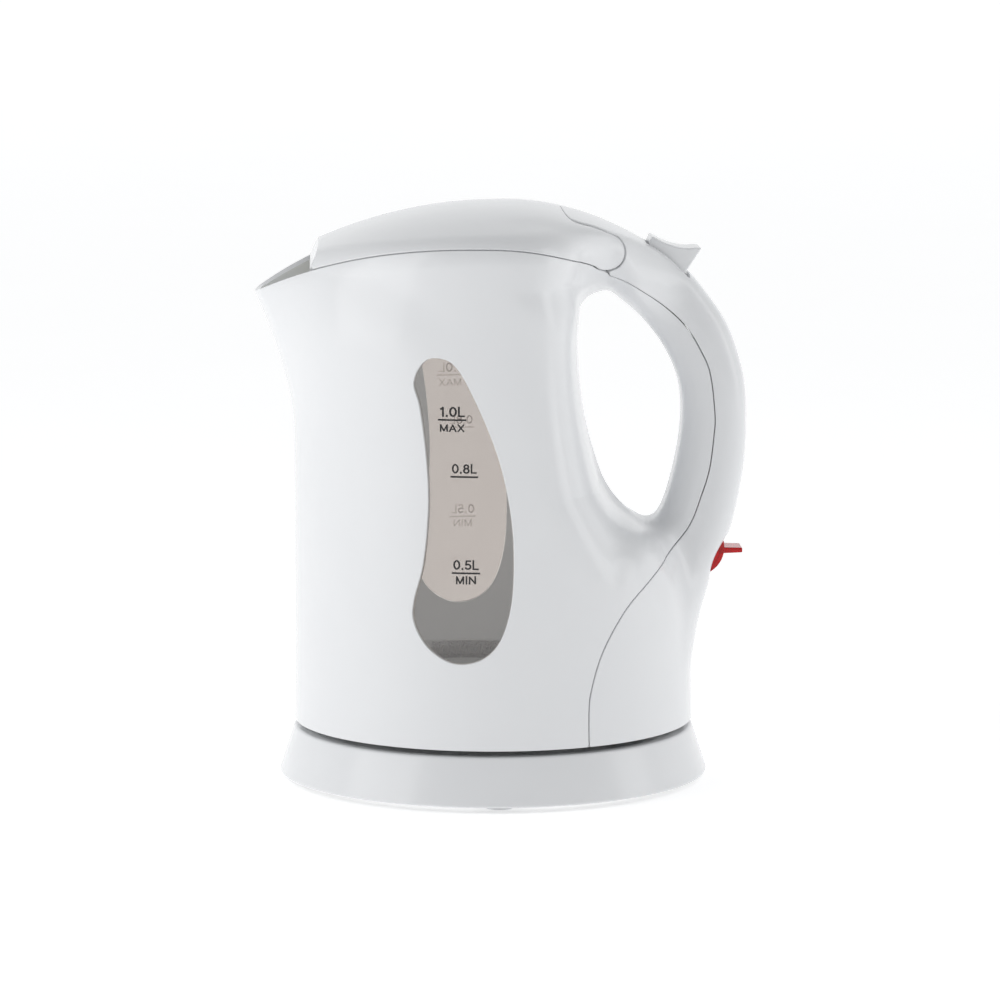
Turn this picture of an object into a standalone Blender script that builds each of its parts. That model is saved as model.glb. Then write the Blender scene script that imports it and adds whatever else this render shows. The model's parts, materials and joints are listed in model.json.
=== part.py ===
"""Cordless electric kettle: a round plastic jug with a moulded handle, two water
windows, a hinged lid with a thumb lever and a rear rocker switch, lifted off a
separate power base.

Every size below is in millimetres, measured from the jug's own upright axis, and is
turned into metres when a mesh is made.  +Z is up, the spout points to -X and the
handle to +X.  The scene's origin is the centre of the footprint, at table height.
"""
import math

import bmesh
import bpy
import numpy as np
import openvdb
from mathutils import Matrix, Vector

MM = 0.001

# ---------------------------------------------------------------- driving dimensions
AXIS_X = -2.5              # where the jug's axis stands, seen from the footprint's centre
WALL = 2.2                 # moulded wall
GAP = 0.5                  # open seam between two mouldings
CLEARANCE = 0.35           # between touching pieces

JUG_RADIUS = 65.5
JUG_BOTTOM = 19.5
FLOOR_TOP = 28.4           # inside floor of the water vessel
CREST_X, CREST_Z = 1.0, 191.4
CROWN_FRONT, CROWN_REAR, CROWN_SIDE = 137.0, 91.0, 275.0   # radii of the domed top

SPOUT_START = 108.0        # height at which the spout starts to flare
SPOUT_TIP_Z = 162.3
SPOUT_REACH = 14.0         # of the tip, in front of the jug's wall

RIM_TOP_X, RIM_TOP_Z = -5.0, 180.6      # highest point of the arched rim
RIM_FRONT, RIM_REAR = 56.8, 39.7        # how far from there it has fallen by 10 mm

GRIP_HALF_WIDTH = 12.5
ROOT_WIDENING = 17.0                    # of the grip on each side, where it leaves the lid
LID_FRONT_X = -60.3                     # lower edge of the lid's front face
HINGE = (36.0, 176.5)                   # lid hinge: x, z
BARREL_RADIUS = 6.1
TONGUE_HALF_WIDTH = 12.2
TONGUE_TIP_X = 22.2

ROCKER_PIVOT = (67.0, 76.6)
ROCKER_RADIUS = 9.4
ROCKER_HALF_WIDTH = 7.5
SCOOP_CENTRE, SCOOP_RADIUS = (90.3, 66.7), 18.4

THUMB_PIVOT = (53.5, 168.2)
THUMB_HALF_WIDTH = 7.8

PARTITION_X = 30.0                      # front face of the wall behind the water
HEAD_Z, HEAD_RADIUS = 48.5, 16.0        # heating element's head in that wall
INLET_X = 44.0                          # power inlet, under the rear compartment

BASE_RADIUS, BASE_TOP_RADIUS = 71.3, 66.0
BASE_BOTTOM, BASE_TOP, BASE_DISH = 1.9, 17.5, 15.6
FOOT_RADIUS, FOOT_CIRCLE = 5.5, 59.0
LEFT_WINDOW_SHIFT = 2.5                 # the left-hand window sits this much nearer to the handle
HINGE_PIN_RADIUS, SMALL_PIN_RADIUS = 1.5, 1.2
SCREW_HOLE_RADIUS = 1.9
CORD_Z, CORD_HOLE_RADIUS = 8.4, 3.3     # power cord's way out of the base

# ------------------------------------------------------------------ drawn outlines (x, z)
HAND_HOLE = [
    (37.0, 161.7), (30.9, 159.2), (27.9, 152.0), (27.9, 140.0), (29.8, 126.7), (33.8, 110.7),
    (40.5, 94.6), (46.2, 87.6), (51.3, 85.5), (55.3, 88.8), (59.1, 99.9), (62.0, 116.0),
    (61.5, 130.5), (56.6, 142.6), (49.2, 152.6), (42.5, 158.6),
]
HANDLE_BACK = [
    (12.0, 180.0), (27.0, 183.5), (41.2, 182.2), (50.1, 178.3), (58.5, 173.0), (65.0, 167.3),
    (70.2, 160.9), (75.6, 153.2), (79.3, 145.2), (82.7, 133.0), (83.7, 119.5), (82.9, 104.5),
    (80.4, 90.0), (77.6, 79.5), (73.9, 70.5), (69.6, 62.2), (64.0, 54.0), (57.0, 44.0), (40.0, 25.0),
]
HANDLE_SEAM = [
    (29.2, 10.0), (29.0, 31.1), (30.0, 38.9), (32.8, 48.2), (36.8, 56.2), (42.5, 64.4), (50.5, 71.8),
    (58.5, 77.9), (64.5, 85.0), (68.4, 95.1), (70.9, 103.5), (72.3, 114.4), (72.6, 121.5),
    (71.0, 134.9), (67.9, 142.5), (63.3, 150.1), (57.6, 155.9), (50.1, 161.6), (43.2, 166.0),
    (37.1, 168.5),
]
WINDOW = [
    (-19.9, 146.0), (-24.4, 144.4), (-27.3, 138.0), (-25.4, 130.0), (-23.4, 114.0), (-22.8, 98.0),
    (-24.4, 80.0), (-27.4, 67.8), (-27.4, 60.5), (-22.9, 52.6), (-15.0, 47.9), (-6.5, 48.9),
    (-0.2, 54.7), (3.5, 66.0), (4.5, 81.0), (3.4, 96.5), (-0.4, 114.0), (-7.4, 131.4), (-14.0, 143.2),
]


# ----------------------------------------------------------------------- curves and fields
def smooth_curve(points, closed, steps=5):
    """Points of a Catmull-Rom curve through the given ones."""
    p = np.array(points, float)
    if closed:
        p = np.vstack([p[-1], p, p[0], p[1]])
    else:
        p = np.vstack([2 * p[0] - p[1], p, 2 * p[-1] - p[-2]])
    t = np.linspace(0, 1, steps, endpoint=False)[:, None]
    spans = []
    for a, b, c, d in zip(p, p[1:], p[2:], p[3:]):
        bend = 2 * a - 5 * b + 4 * c - d
        twist = 3 * b - a - 3 * c + d
        spans.append(b + 0.5 * t * (c - a + t * (bend + t * twist)))
    if not closed:
        spans.append(p[-2:-1])
    return np.vstack(spans)


def arc(centre, radius, start, end, steps=9):
    """Points of an arc, from one angle to another, in degrees."""
    angles = np.radians(np.linspace(start, end, steps + 1))
    return np.column_stack([centre[0] + radius * np.cos(angles), centre[1] + radius * np.sin(angles)])


def offset_curve(points, distance):
    """An open curve moved sideways, to the right of its direction of travel."""
    p = np.array(points, float)
    along = np.gradient(p, axis=0)
    along /= np.linalg.norm(along, axis=1)[:, None]
    return p + distance * np.column_stack([along[:, 1], -along[:, 0]])


def smooth_max(a, b, k):
    """The larger of two fields, with the corner between them rounded over k."""
    h = np.maximum(k - np.abs(a - b), 0.0)
    return np.maximum(a, b) + h * h / (4 * k)


def smooth_min(a, b, k):
    return -smooth_max(-a, -b, k)


def smooth_step(low, high, value):
    t = np.clip((value - low) / (high - low), 0.0, 1.0)
    return t * t * (3 - 2 * t)


def outline_distance(outline, x, z):
    """Distance to a closed outline, negative inside it."""
    nearest = np.full(x.shape, 1e9)
    inside = np.zeros(x.shape, bool)
    for (x0, z0), (x1, z1) in zip(outline, np.roll(outline, -1, axis=0)):
        ex, ez = x1 - x0, z1 - z0
        t = np.clip(((x - x0) * ex + (z - z0) * ez) / (ex * ex + ez * ez), 0.0, 1.0)
        nearest = np.minimum(nearest, (x - x0 - t * ex) ** 2 + (z - z0 - t * ez) ** 2)
        if z0 != z1:
            inside ^= ((z0 <= z) != (z1 <= z)) & (x < x0 + (z - z0) * ex / ez)
    return np.where(inside, -1.0, 1.0) * np.sqrt(nearest)


def two_circle_plan(x, y, c1, r1, c2, r2):
    """Distance to the outline round two circles, centred at -c1 and, in front, at -c2."""
    side, ahead = np.abs(y), -(x + c1)
    apart = np.maximum(c2 - c1, 1e-6)
    slope = np.clip((r1 - r2) / apart, -1.0, 1.0)
    run = np.sqrt(1 - slope * slope)
    along = ahead * run - side * slope
    rear = np.hypot(side, ahead) - r1
    front = np.hypot(side, ahead - apart) - r2
    flank = side * run + ahead * slope - r1
    hull = np.where(along < 0, rear, np.where(along > apart * run, front, flank))
    return np.where(apart <= np.abs(r1 - r2), np.minimum(rear, front), hull)


def jug_plan(x, y, z):
    """The jug's round wall with the spout's flare, which grows towards the rim."""
    rise = np.clip((z - SPOUT_START) / (SPOUT_TIP_Z - SPOUT_START), 0.0, None) ** 1.8
    reach = SPOUT_REACH * rise
    shoulder_radius = JUG_RADIUS - 0.8 - 3.0 * rise * rise
    shoulder_x = reach * (1 - 0.38 * np.minimum(rise, 1.3))
    nose_radius = np.maximum(62.0 - 43.0 * rise, 6.0)
    nose_x = JUG_RADIUS - 0.8 + reach - nose_radius
    spout = two_circle_plan(x, y, shoulder_x, shoulder_radius, nose_x, nose_radius)
    foot_flare = 0.5 * np.clip((60.0 - z) / 40.0, 0.0, 1.0) ** 2
    return smooth_min(np.hypot(x, y) - JUG_RADIUS - foot_flare, spout, 1.6)


def crown_height(x, y):
    """The domed top: a gentle arc along the kettle, and a gentler one across it."""
    dx = x - CREST_X
    along = dx * dx / (2 * np.where(dx < 0, CROWN_FRONT, CROWN_REAR))
    return CREST_Z - along - y * y / (2 * CROWN_SIDE)


def handle_field(x, y, z):
    outline = np.vstack([smooth_curve(HANDLE_BACK, closed=False), [(12.0, 25.0)]])
    droop = y * y / (2 * CROWN_SIDE) * smooth_step(160.0, 175.0, z)
    side = outline_distance(outline, x, z + droop)
    root = smooth_step(64.0, 34.0, x) * smooth_step(148.0, 166.0, z)
    half_width = GRIP_HALF_WIDTH + ROOT_WIDENING * root
    return smooth_max(side, np.abs(y) - half_width, 10.0)


def envelope_field(x, y, z):
    """The kettle's whole outer surface, jug, handle and lid together, as a distance."""
    rear = 31.0 + 14.0 * smooth_step(168.0, 152.0, z) + 0.9 * np.maximum(100.0 - z, 0.0)
    body = smooth_max(jug_plan(x, y, z), x - rear, 30.0)
    body = smooth_max(body, z - crown_height(x, y), 8.0)
    blend = 10.0 + 4.0 * smooth_step(100.0, 60.0, z) + 8.0 * smooth_step(150.0, 165.0, z)
    whole = smooth_min(body, handle_field(x, y, z), blend)
    hole = outline_distance(smooth_curve(HAND_HOLE, closed=True), x, z)
    whole = smooth_max(whole, -hole, 9.0 + 15.0 * smooth_step(50.0, 36.0, x))
    whole = smooth_max(whole, z - crown_height(x, y) - 0.4, 1.6)
    scoop = SCOOP_RADIUS - np.hypot(x - SCOOP_CENTRE[0], z - SCOOP_CENTRE[1])
    whole = smooth_max(whole, scoop, 1.2)
    return np.maximum(whole, 10.0 - z)


# ------------------------------------------------------------------------------ objects
def new_object(name, vertices, faces):
    """A mesh object from points in millimetres about the jug's axis."""
    mesh = bpy.data.meshes.new(name)
    points = (np.asarray(vertices, float) + (AXIS_X, 0.0, 0.0)) * MM
    mesh.from_pydata(points.tolist(), [], [list(map(int, face)) for face in faces])
    obj = bpy.data.objects.new(name, mesh)
    bpy.context.scene.collection.objects.link(obj)
    return obj


def apply_modifiers(obj):
    depsgraph = bpy.context.evaluated_depsgraph_get()
    mesh = bpy.data.meshes.new_from_object(obj.evaluated_get(depsgraph))
    obj.modifiers.clear()
    obj.data = mesh


def combine(obj, other, operation, keep_other=False):
    """Cut, join or intersect one solid with another."""
    modifier = obj.modifiers.new(operation.lower(), "BOOLEAN")
    modifier.operation = operation
    modifier.solver = "EXACT"
    modifier.object = other
    apply_modifiers(obj)
    if not keep_other:
        bpy.data.objects.remove(other)
    return obj


def cut(obj, cutter, keep_other=False):
    return combine(obj, cutter, "DIFFERENCE", keep_other)


def join(obj, other):
    return combine(obj, other, "UNION")


def keep_inside(obj, other, keep_other=False):
    return combine(obj, other, "INTERSECT", keep_other)


def copy_of(obj, name):
    twin = bpy.data.objects.new(name, obj.data.copy())
    bpy.context.scene.collection.objects.link(twin)
    return twin


def prism(name, outline, low, high, axis="Y"):
    """A flat outline pulled straight along an axis: (x, z) along Y, (x, y) along Z, (y, z) along X."""
    flat = np.asarray(outline, float)
    count = len(flat)
    place = {"X": lambda a, b, c: (c, a, b), "Y": lambda a, b, c: (a, c, b), "Z": lambda a, b, c: (a, b, c)}
    points = [place[axis](a, b, level) for level in (low, high) for a, b in flat]
    sides = [(i, (i + 1) % count, count + (i + 1) % count, count + i) for i in range(count)]
    caps = [tuple(range(count - 1, -1, -1)), tuple(range(count, 2 * count))]
    obj = new_object(name, points, sides + caps)
    face_outwards(obj)
    return obj


def face_outwards(obj):
    mesh = bmesh.new()
    mesh.from_mesh(obj.data)
    bmesh.ops.recalc_face_normals(mesh, faces=mesh.faces)
    if mesh.calc_volume(signed=True) < 0:
        bmesh.ops.reverse_faces(mesh, faces=mesh.faces)
    mesh.to_mesh(obj.data)
    mesh.free()


def box(name, low, high):
    (x0, y0, z0), (x1, y1, z1) = low, high
    return prism(name, [(x0, y0), (x1, y0), (x1, y1), (x0, y1)], z0, z1, axis="Z")


def disc(name, centre, radius, thickness, axis="Z", sides=32):
    """A round bar standing on a centre point and reaching along +axis."""
    place = {"X": (1, 2, 0), "Y": (0, 2, 1), "Z": (0, 1, 2)}[axis]
    flat = arc((centre[place[0]], centre[place[1]]), radius, 0, 360, sides)[:-1]
    return prism(name, flat, centre[place[2]], centre[place[2]] + thickness, axis)


def turned(name, profile, centre=(0.0, 0.0), sides=64):
    """A closed (radius, height) profile spun round an upright line."""
    mesh = bmesh.new()
    corners = [mesh.verts.new(((centre[0] + AXIS_X + r) * MM, centre[1] * MM, z * MM)) for r, z in profile]
    edges = [mesh.edges.new((a, b)) for a, b in zip(corners, corners[1:])]
    if profile[0][0] > 0:
        edges.append(mesh.edges.new((corners[-1], corners[0])))
    middle = Vector(((centre[0] + AXIS_X) * MM, centre[1] * MM, 0.0))
    bmesh.ops.spin(mesh, geom=corners + edges, cent=middle, axis=(0, 0, 1), dvec=(0, 0, 0),
                   angle=math.tau, steps=sides, use_merge=True)
    bmesh.ops.remove_doubles(mesh, verts=mesh.verts, dist=1e-6)
    data = bpy.data.meshes.new(name)
    mesh.to_mesh(data)
    mesh.free()
    obj = bpy.data.objects.new(name, data)
    bpy.context.scene.collection.objects.link(obj)
    face_outwards(obj)
    return obj


def tube(name, route, radius, sides=8, hollow=0.0):
    """A bent round bar, or a pipe, along a smooth route through the given points."""
    path = smooth_curve(route, closed=False, steps=2)
    rings, faces = [], []
    along = np.gradient(path, axis=0)
    across = np.array([0.0, 0.0, 1.0])
    for point, direction in zip(path, along):
        direction = direction / np.linalg.norm(direction)
        across = across - direction * np.dot(across, direction)
        across /= np.linalg.norm(across)
        third = np.cross(direction, across)
        for size in ([radius, radius - hollow] if hollow else [radius]):
            for a in np.linspace(0, math.tau, sides, endpoint=False):
                rings.append(point + size * (math.cos(a) * across + math.sin(a) * third))
    layers = 2 if hollow else 1
    stride = sides * layers
    for i in range(len(path) - 1):
        for layer in range(layers):
            for j in range(sides):
                a = i * stride + layer * sides + j
                b = i * stride + layer * sides + (j + 1) % sides
                faces.append((a, b, b + stride, a + stride))
    for start in (0, (len(path) - 1) * stride):
        if hollow:
            for j in range(sides):
                a, b = start + j, start + (j + 1) % sides
                faces.append((a, b, b + sides, a + sides))
        else:
            faces.append(tuple(range(start, start + sides)))
    obj = new_object(name, rings, faces)
    face_outwards(obj)
    return obj


def material(name, colour, roughness, metallic=0.0, alpha=1.0):
    made = bpy.data.materials.get(name)
    if made is None:
        made = bpy.data.materials.new(name)
        made.use_nodes = True
        shader = made.node_tree.nodes["Principled BSDF"]
        shader.inputs["Base Color"].default_value = (*colour, 1.0)
        shader.inputs["Roughness"].default_value = roughness
        shader.inputs["Metallic"].default_value = metallic
        shader.inputs["Alpha"].default_value = alpha
    return made


def white_plastic():
    return material("white_plastic", (0.86, 0.87, 0.88), 0.18)


def smoke_window():
    return material("smoke_window", (0.55, 0.50, 0.46), 0.15, alpha=0.6)


def red_plastic():
    return material("red_plastic", (0.62, 0.02, 0.02), 0.15, alpha=0.85)


def dark_plastic():
    return material("dark_plastic", (0.04, 0.04, 0.045), 0.4)


def natural_nylon():
    return material("natural_nylon", (0.75, 0.72, 0.64), 0.45)


def grey_rubber():
    return material("grey_rubber", (0.55, 0.56, 0.57), 0.8)


def stainless():
    return material("stainless", (0.70, 0.70, 0.70), 0.28, metallic=1.0)


def brass():
    return material("brass", (0.78, 0.60, 0.30), 0.3, metallic=1.0)


def finish(obj, name, look, pivot=None):
    """Name a finished solid, give it its material and, if it moves, its joint as origin."""
    obj.name = name
    obj.data.name = name
    obj.data.materials.clear()
    obj.data.materials.append(look)
    obj.data.shade_smooth()
    obj.data.set_sharp_from_angle(angle=math.radians(35))
    if pivot is not None:
        origin = Vector(((pivot[0] + AXIS_X) * MM, 0.0, pivot[1] * MM))
        obj.data.transform(Matrix.Translation(-origin))
        obj.location = origin
    return obj


def drop(*objects):
    for obj in objects:
        bpy.data.objects.remove(obj)


# --------------------------------------------------------------------------- the envelope
def envelope(name, inset, triangles):
    """The outer surface as a light closed mesh, moved inwards by an inset."""
    step = 3.0
    low = np.array([-88.0, -74.0, 4.0])
    counts = np.array([60, 50, 65])
    axes = [low[i] + step * np.arange(counts[i]) for i in range(3)]
    x, y, z = np.meshgrid(*axes, indexing="ij")
    grid = openvdb.FloatGrid(30.0)
    grid.copyFromArray((envelope_field(x, y, z) + inset).astype(np.float32))
    points, quads = grid.convertToQuads(isovalue=0.0)
    obj = new_object(name, points * step + low, quads)
    face_outwards(obj)
    thin = obj.modifiers.new("thin", "DECIMATE")
    thin.ratio = triangles / (2 * len(quads))
    apply_modifiers(obj)
    settle(obj, inset)
    return obj


def settle(obj, inset):
    """Move every vertex onto the surface that lies an inset inside the envelope."""
    count = len(obj.data.vertices)
    flat = np.empty(count * 3)
    obj.data.vertices.foreach_get("co", flat)
    p = flat.reshape(-1, 3) / MM - (AXIS_X, 0.0, 0.0)
    h = 0.05
    for _ in range(3):
        value = envelope_field(*p.T) + inset
        slope = np.column_stack([
            (envelope_field(*(p + step).T) - envelope_field(*(p - step).T)) / (2 * h)
            for step in np.eye(3) * h
        ])
        size = np.maximum((slope * slope).sum(axis=1), 0.25)
        p = p - slope * np.clip(value / size, -1.5, 1.5)[:, None]
    obj.data.vertices.foreach_set("co", ((p + (AXIS_X, 0.0, 0.0)) * MM).ravel())
    obj.data.update()


# ---------------------------------------------------------------------- seams, seen side on
def rim_height(x):
    reach = x - RIM_TOP_X
    share = np.abs(reach) / np.where(reach < 0, RIM_FRONT, RIM_REAR)
    return RIM_TOP_Z - 10.0 * share ** 2.34


def rim_curve(first, last, raised):
    x = np.linspace(first, last, 16)
    return np.column_stack([x, rim_height(x) + raised])


def barrel_arc(radius, start, end):
    return arc(HINGE, radius, start, end)


def jug_side():
    """The jug's region: under the rim and in front of the handle's seam."""
    rear = offset_curve(smooth_curve(HANDLE_SEAM, closed=False, steps=2), -GAP / 2)
    rim = rim_curve(HINGE[0], -95.0, -GAP / 2)
    foot = [(-95.0, JUG_BOTTOM), (rear[0][0], JUG_BOTTOM)]
    return np.vstack([foot, rear[rear[:, 1] > JUG_BOTTOM], rim])


def in_front_of_cover():
    """Everything ahead of the rear cover: up the handle's seam, round the lid's barrel."""
    seam = offset_curve(smooth_curve(HANDLE_SEAM, closed=False, steps=2), GAP / 2)
    barrel = barrel_arc(BARREL_RADIUS + GAP, -84.0, 28.0)
    top = [(barrel[-1][0], 210.0), (-95.0, 210.0), (-95.0, 0.0)]
    return np.vstack([[(seam[0][0], 0.0)], seam, barrel, top])


def lid_side():
    """The lid's region: over the rim, behind the spout's mouth, ending in the barrel."""
    rim = rim_curve(LID_FRONT_X, HINGE[0] - 4.0, GAP / 2)
    barrel = barrel_arc(BARREL_RADIUS, -118.0, 70.0)
    top = [(8.0, 194.0), (8.0, 205.0), (lid_front_x(205.0), 205.0)]
    return np.vstack([rim, barrel, top])


def lid_front_x(z):
    """The lid's front face leans back a little."""
    return LID_FRONT_X + 0.424 * (z - 171.3)


def lid_hollow_side():
    low, high, rear = 160.0, 205.0, PARTITION_X - 3.0
    return [(lid_front_x(low) + WALL, low), (rear, low), (rear, high), (lid_front_x(high) + WALL, high)]


def jug_walls_side():
    """The vessel's floor and the upright wall between the water and the controls."""
    floor_low = FLOOR_TOP - WALL
    behind = PARTITION_X + WALL
    return [(-95.0, floor_low), (behind, floor_low), (behind, 104.0), (PARTITION_X, 122.0),
            (PARTITION_X, FLOOR_TOP), (-95.0, FLOOR_TOP)]


def tongue_plan(grown):
    """The cover's tongue from above: straight sides and a round tip over the lid."""
    half = TONGUE_HALF_WIDTH + grown
    tip = arc((TONGUE_TIP_X + TONGUE_HALF_WIDTH, 0.0), half, 90, 270, 18)
    return np.vstack([tip, [(60.0, -half), (60.0, half)]])


def tongue_sweep(grown):
    """What the lid must leave free to turn past the tongue: a spindle round the hinge, and a slot."""
    half = TONGUE_HALF_WIDTH + grown
    centre_x = TONGUE_TIP_X + TONGUE_HALF_WIDTH
    profile = [(0.0, -half)]
    for angle in np.radians(np.linspace(-88, 88, 15)):
        x, y = centre_x - half * math.cos(angle), half * math.sin(angle)
        profile.append((math.hypot(x - HINGE[0], crown_height(x, y) - HINGE[1]) + 0.3, y))
    profile.append((0.0, half))
    spindle = turned("spindle", profile[::-1], sides=32)
    lay_down = Matrix.Rotation(math.radians(-90), 4, "X")
    stand = Matrix.Translation((AXIS_X * MM, 0.0, 0.0))
    spindle.data.transform(Matrix.Translation((HINGE[0] * MM, 0.0, HINGE[1] * MM)) @ stand @ lay_down
                           @ stand.inverted())
    slot = box("slot", (centre_x, -half, 120.0), (60.0, half, 230.0))
    return spindle, slot


def window_side(grown, side):
    curve = smooth_curve(WINDOW, closed=True, steps=2)
    if side > 0:
        curve = curve + (LEFT_WINDOW_SHIFT, 0.0)
    closed = np.vstack([curve, curve[0]])
    return offset_curve(closed, grown)[:-1]


# -------------------------------------------------------------------------- jug mouldings
def jug_body(outer, inner):
    body = keep_inside(copy_of(outer, "jug_body"), prism("region", jug_side(), -90, 90))
    hollow = cut(copy_of(inner, "hollow"), prism("walls", jug_walls_side(), -90, 90))
    upper_wall = box("upper_wall", (PARTITION_X - 2.0, -40, 150), (PARTITION_X + 1.5, 40, 200))
    cut(hollow, upper_wall)
    cut(body, hollow)
    cut(body, disc("barrel_room", (HINGE[0], -40, HINGE[1]), BARREL_RADIUS + GAP, 80, axis="Y", sides=48))
    for side in (-1, 1):
        low, high = sorted((side * 40, side * 90))
        cut(body, prism("opening", window_side(0.0, side), low, high))
    head_hole = disc("head_hole", (PARTITION_X - 5, 0, HEAD_Z), HEAD_RADIUS + CLEARANCE, 12, axis="X")
    cut(body, head_hole)
    for x, y in jug_screw_places():
        boss = disc("boss", (x, y, JUG_BOTTOM + 4.2), 3.4, FLOOR_TOP - JUG_BOTTOM - 5.2, sides=16)
        join(body, boss)
        cut(body, disc("bore", (x, y, 0), SCREW_HOLE_RADIUS, FLOOR_TOP - 1.2, sides=12))
    return finish(body, "jug_body", white_plastic())


def window(outer, inner, name, side):
    pane = copy_of(outer, name)
    low, high = sorted((side * 40, side * 90))
    keep_inside(pane, prism("region", window_side(-CLEARANCE, side), low, high))
    cut(pane, inner, keep_other=True)
    return finish(pane, name, smoke_window())


def handle_cover(outer, inner):
    ahead = prism("ahead", in_front_of_cover(), -90, 90)
    cut(ahead, prism("tongue", tongue_plan(0.0), HINGE[1] + 2, 230, axis="Z"))
    cover = cut(copy_of(outer, "handle_cover"), ahead)
    cut(cover, box("below", (-95, -90, 0), (95, 90, JUG_BOTTOM)))
    cut(cover, inner, keep_other=True)
    join(cover, hinge_bracket())
    cut(cover, disc("pin_bore", (HINGE[0], -15, HINGE[1]), HINGE_PIN_RADIUS + CLEARANCE, 30, axis="Y",
                    sides=16))
    half = THUMB_HALF_WIDTH + 0.5
    cut(cover, box("thumb_slot", (50.3, -half, 150), (65.2, half, 200)))
    half = ROCKER_HALF_WIDTH + 0.5
    cut(cover, box("rocker_slot", (64, -half, ROCKER_PIVOT[1] - 10.6), (95, half, ROCKER_PIVOT[1] + 4.4)))
    for side in (-1, 1):
        join(cover, thumb_lug(side))
        join(cover, rocker_lug(side))
    half = THUMB_HALF_WIDTH + 1.9
    cut(cover, small_bore(THUMB_PIVOT, half))
    return finish(cover, "handle_cover", white_plastic())


def small_bore(pivot, half_length):
    """The way for one of the small cross pins."""
    x, z = pivot
    radius = SMALL_PIN_RADIUS + CLEARANCE
    return disc("bore", (x, -half_length, z), radius, 2 * half_length, axis="Y", sides=12)


def hinge_bracket():
    """A web under the tongue that carries the lid's hinge pin."""
    x, z = HINGE
    outline = np.vstack([arc(HINGE, 4.0, 180, 360, 10), [(x + 4.0, z + 6.6), (x - 4.0, z + 8.2)]])
    return prism("bracket", outline, -TONGUE_HALF_WIDTH + 1.0, TONGUE_HALF_WIDTH - 1.0)


def thumb_lug(side):
    x, z = THUMB_PIVOT
    outline = np.vstack([arc(THUMB_PIVOT, 2.3, 180, 360, 8), [(x + 2.3, z + 5.0), (x - 2.3, z + 6.6)]])
    low, high = sorted((side * (THUMB_HALF_WIDTH + 0.7), side * (THUMB_HALF_WIDTH + 3.6)))
    lug = prism("lug", outline, low, high)
    return cut(lug, small_bore(THUMB_PIVOT, 20))


def rocker_lug(side):
    x, z = ROCKER_PIVOT
    outline = np.vstack([arc(ROCKER_PIVOT, 2.4, 90, 270, 8), [(x + 7.2, z - 2.4), (x + 8.6, z + 2.4)]])
    low, high = sorted((side * (ROCKER_HALF_WIDTH + 0.7), side * (ROCKER_HALF_WIDTH + 2.6)))
    lug = prism("lug", outline, low, high)
    return cut(lug, small_bore(ROCKER_PIVOT, 20))


# ------------------------------------------------------------------------------------ lid
def lid_cover(outer, inner):
    lid = keep_inside(copy_of(outer, "lid_cover"), prism("region", lid_side(), -90, 90))
    for cutter in tongue_sweep(GAP):
        cut(lid, cutter)
    hollow = keep_inside(copy_of(inner, "hollow"), prism("region", lid_hollow_side(), -90, 90))
    for cutter in tongue_sweep(GAP + WALL):
        cut(hollow, cutter)
    cut(lid, hollow)
    cut(lid, disc("pin_bore", (HINGE[0], -20, HINGE[1]), HINGE_PIN_RADIUS + CLEARANCE, 40, axis="Y",
                  sides=16))
    return finish(lid, "lid_cover", white_plastic(), HINGE)


def lid_inner_plate(inmost):
    """The arched plate that closes the lid from below, with slots for the steam."""
    front, rear = LID_FRONT_X + 5.0, PARTITION_X - 4.0
    under = rim_curve(front, rear, 0.5)
    over = rim_curve(rear, front, 0.5 + WALL)
    plate = keep_inside(prism("plate", np.vstack([under, over]), -90, 90), inmost, keep_other=True)
    for cutter in tongue_sweep(GAP + WALL + 0.6):
        cut(plate, cutter)
    for i in range(4):
        x = 2.0 + 4.5 * i
        cut(plate, box("steam_slot", (x, -9.0, 150), (x + 1.8, 9.0, 200)))
    return finish(plate, "lid_inner_plate", white_plastic(), HINGE)


def spout_filter(inmost):
    """A framed strainer standing across the inside of the spout."""
    x = -57.5
    frame = box("frame", (x, -60, 138.0), (x + 1.6, 60, 169.0))
    keep_inside(frame, inmost, keep_other=True)
    for row in range(4):
        for column in range(-3, 4):
            y, z = column * 7.0, 142.0 + row * 6.4
            cut(frame, box("mesh_gap", (x - 1, y - 2.7, z), (x + 3, y + 2.7, z + 4.8)))
    return finish(frame, "spout_filter", natural_nylon())


# ------------------------------------------------------------- lever, rocker and their pins
def thumb_lever():
    top = [(50.8, 177.2), (51.9, 180.1), (56.3, 177.7), (60.4, 176.3), (63.6, 175.9), (66.4, 176.2),
           (68.4, 176.1), (63.2, 168.3)]
    under = [(60.5, 166.6), (56.5, 165.8), (53.5, 165.6), (50.8, 167.4)]
    lever = prism("thumb_lever", top + under, -THUMB_HALF_WIDTH, THUMB_HALF_WIDTH)
    cut(lever, small_bore(THUMB_PIVOT, 20))
    return finish(lever, "thumb_lever", white_plastic(), THUMB_PIVOT)


def rocker_switch():
    """Round-backed rocker with a flat tab that is pressed down to switch on."""
    x, z = ROCKER_PIVOT
    lower = arc(ROCKER_PIVOT, ROCKER_RADIUS, -64, -14, 10)
    upper = arc(ROCKER_PIVOT, ROCKER_RADIUS, 2, 18, 4)
    tab = [(x + 15.3, z - 2.2), (x + 15.6, z - 1.9), (x + 15.6, z - 0.1), (x + 15.2, z + 0.2)]
    heart = [(x - 1.0, z + 4.0), (x - 4.5, z + 1.0), (x - 4.5, z - 3.0)]
    outline = np.vstack([lower, tab, upper, heart])
    rocker = prism("rocker_switch", outline, -ROCKER_HALF_WIDTH, ROCKER_HALF_WIDTH)
    cut(rocker, small_bore(ROCKER_PIVOT, 20))
    return finish(rocker, "rocker_switch", red_plastic(), ROCKER_PIVOT)


def cross_pin(name, place, radius, half_length):
    pin = disc(name, (place[0], -half_length, place[1]), radius, 2 * half_length, axis="Y", sides=12)
    return finish(pin, name, stainless())


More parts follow.
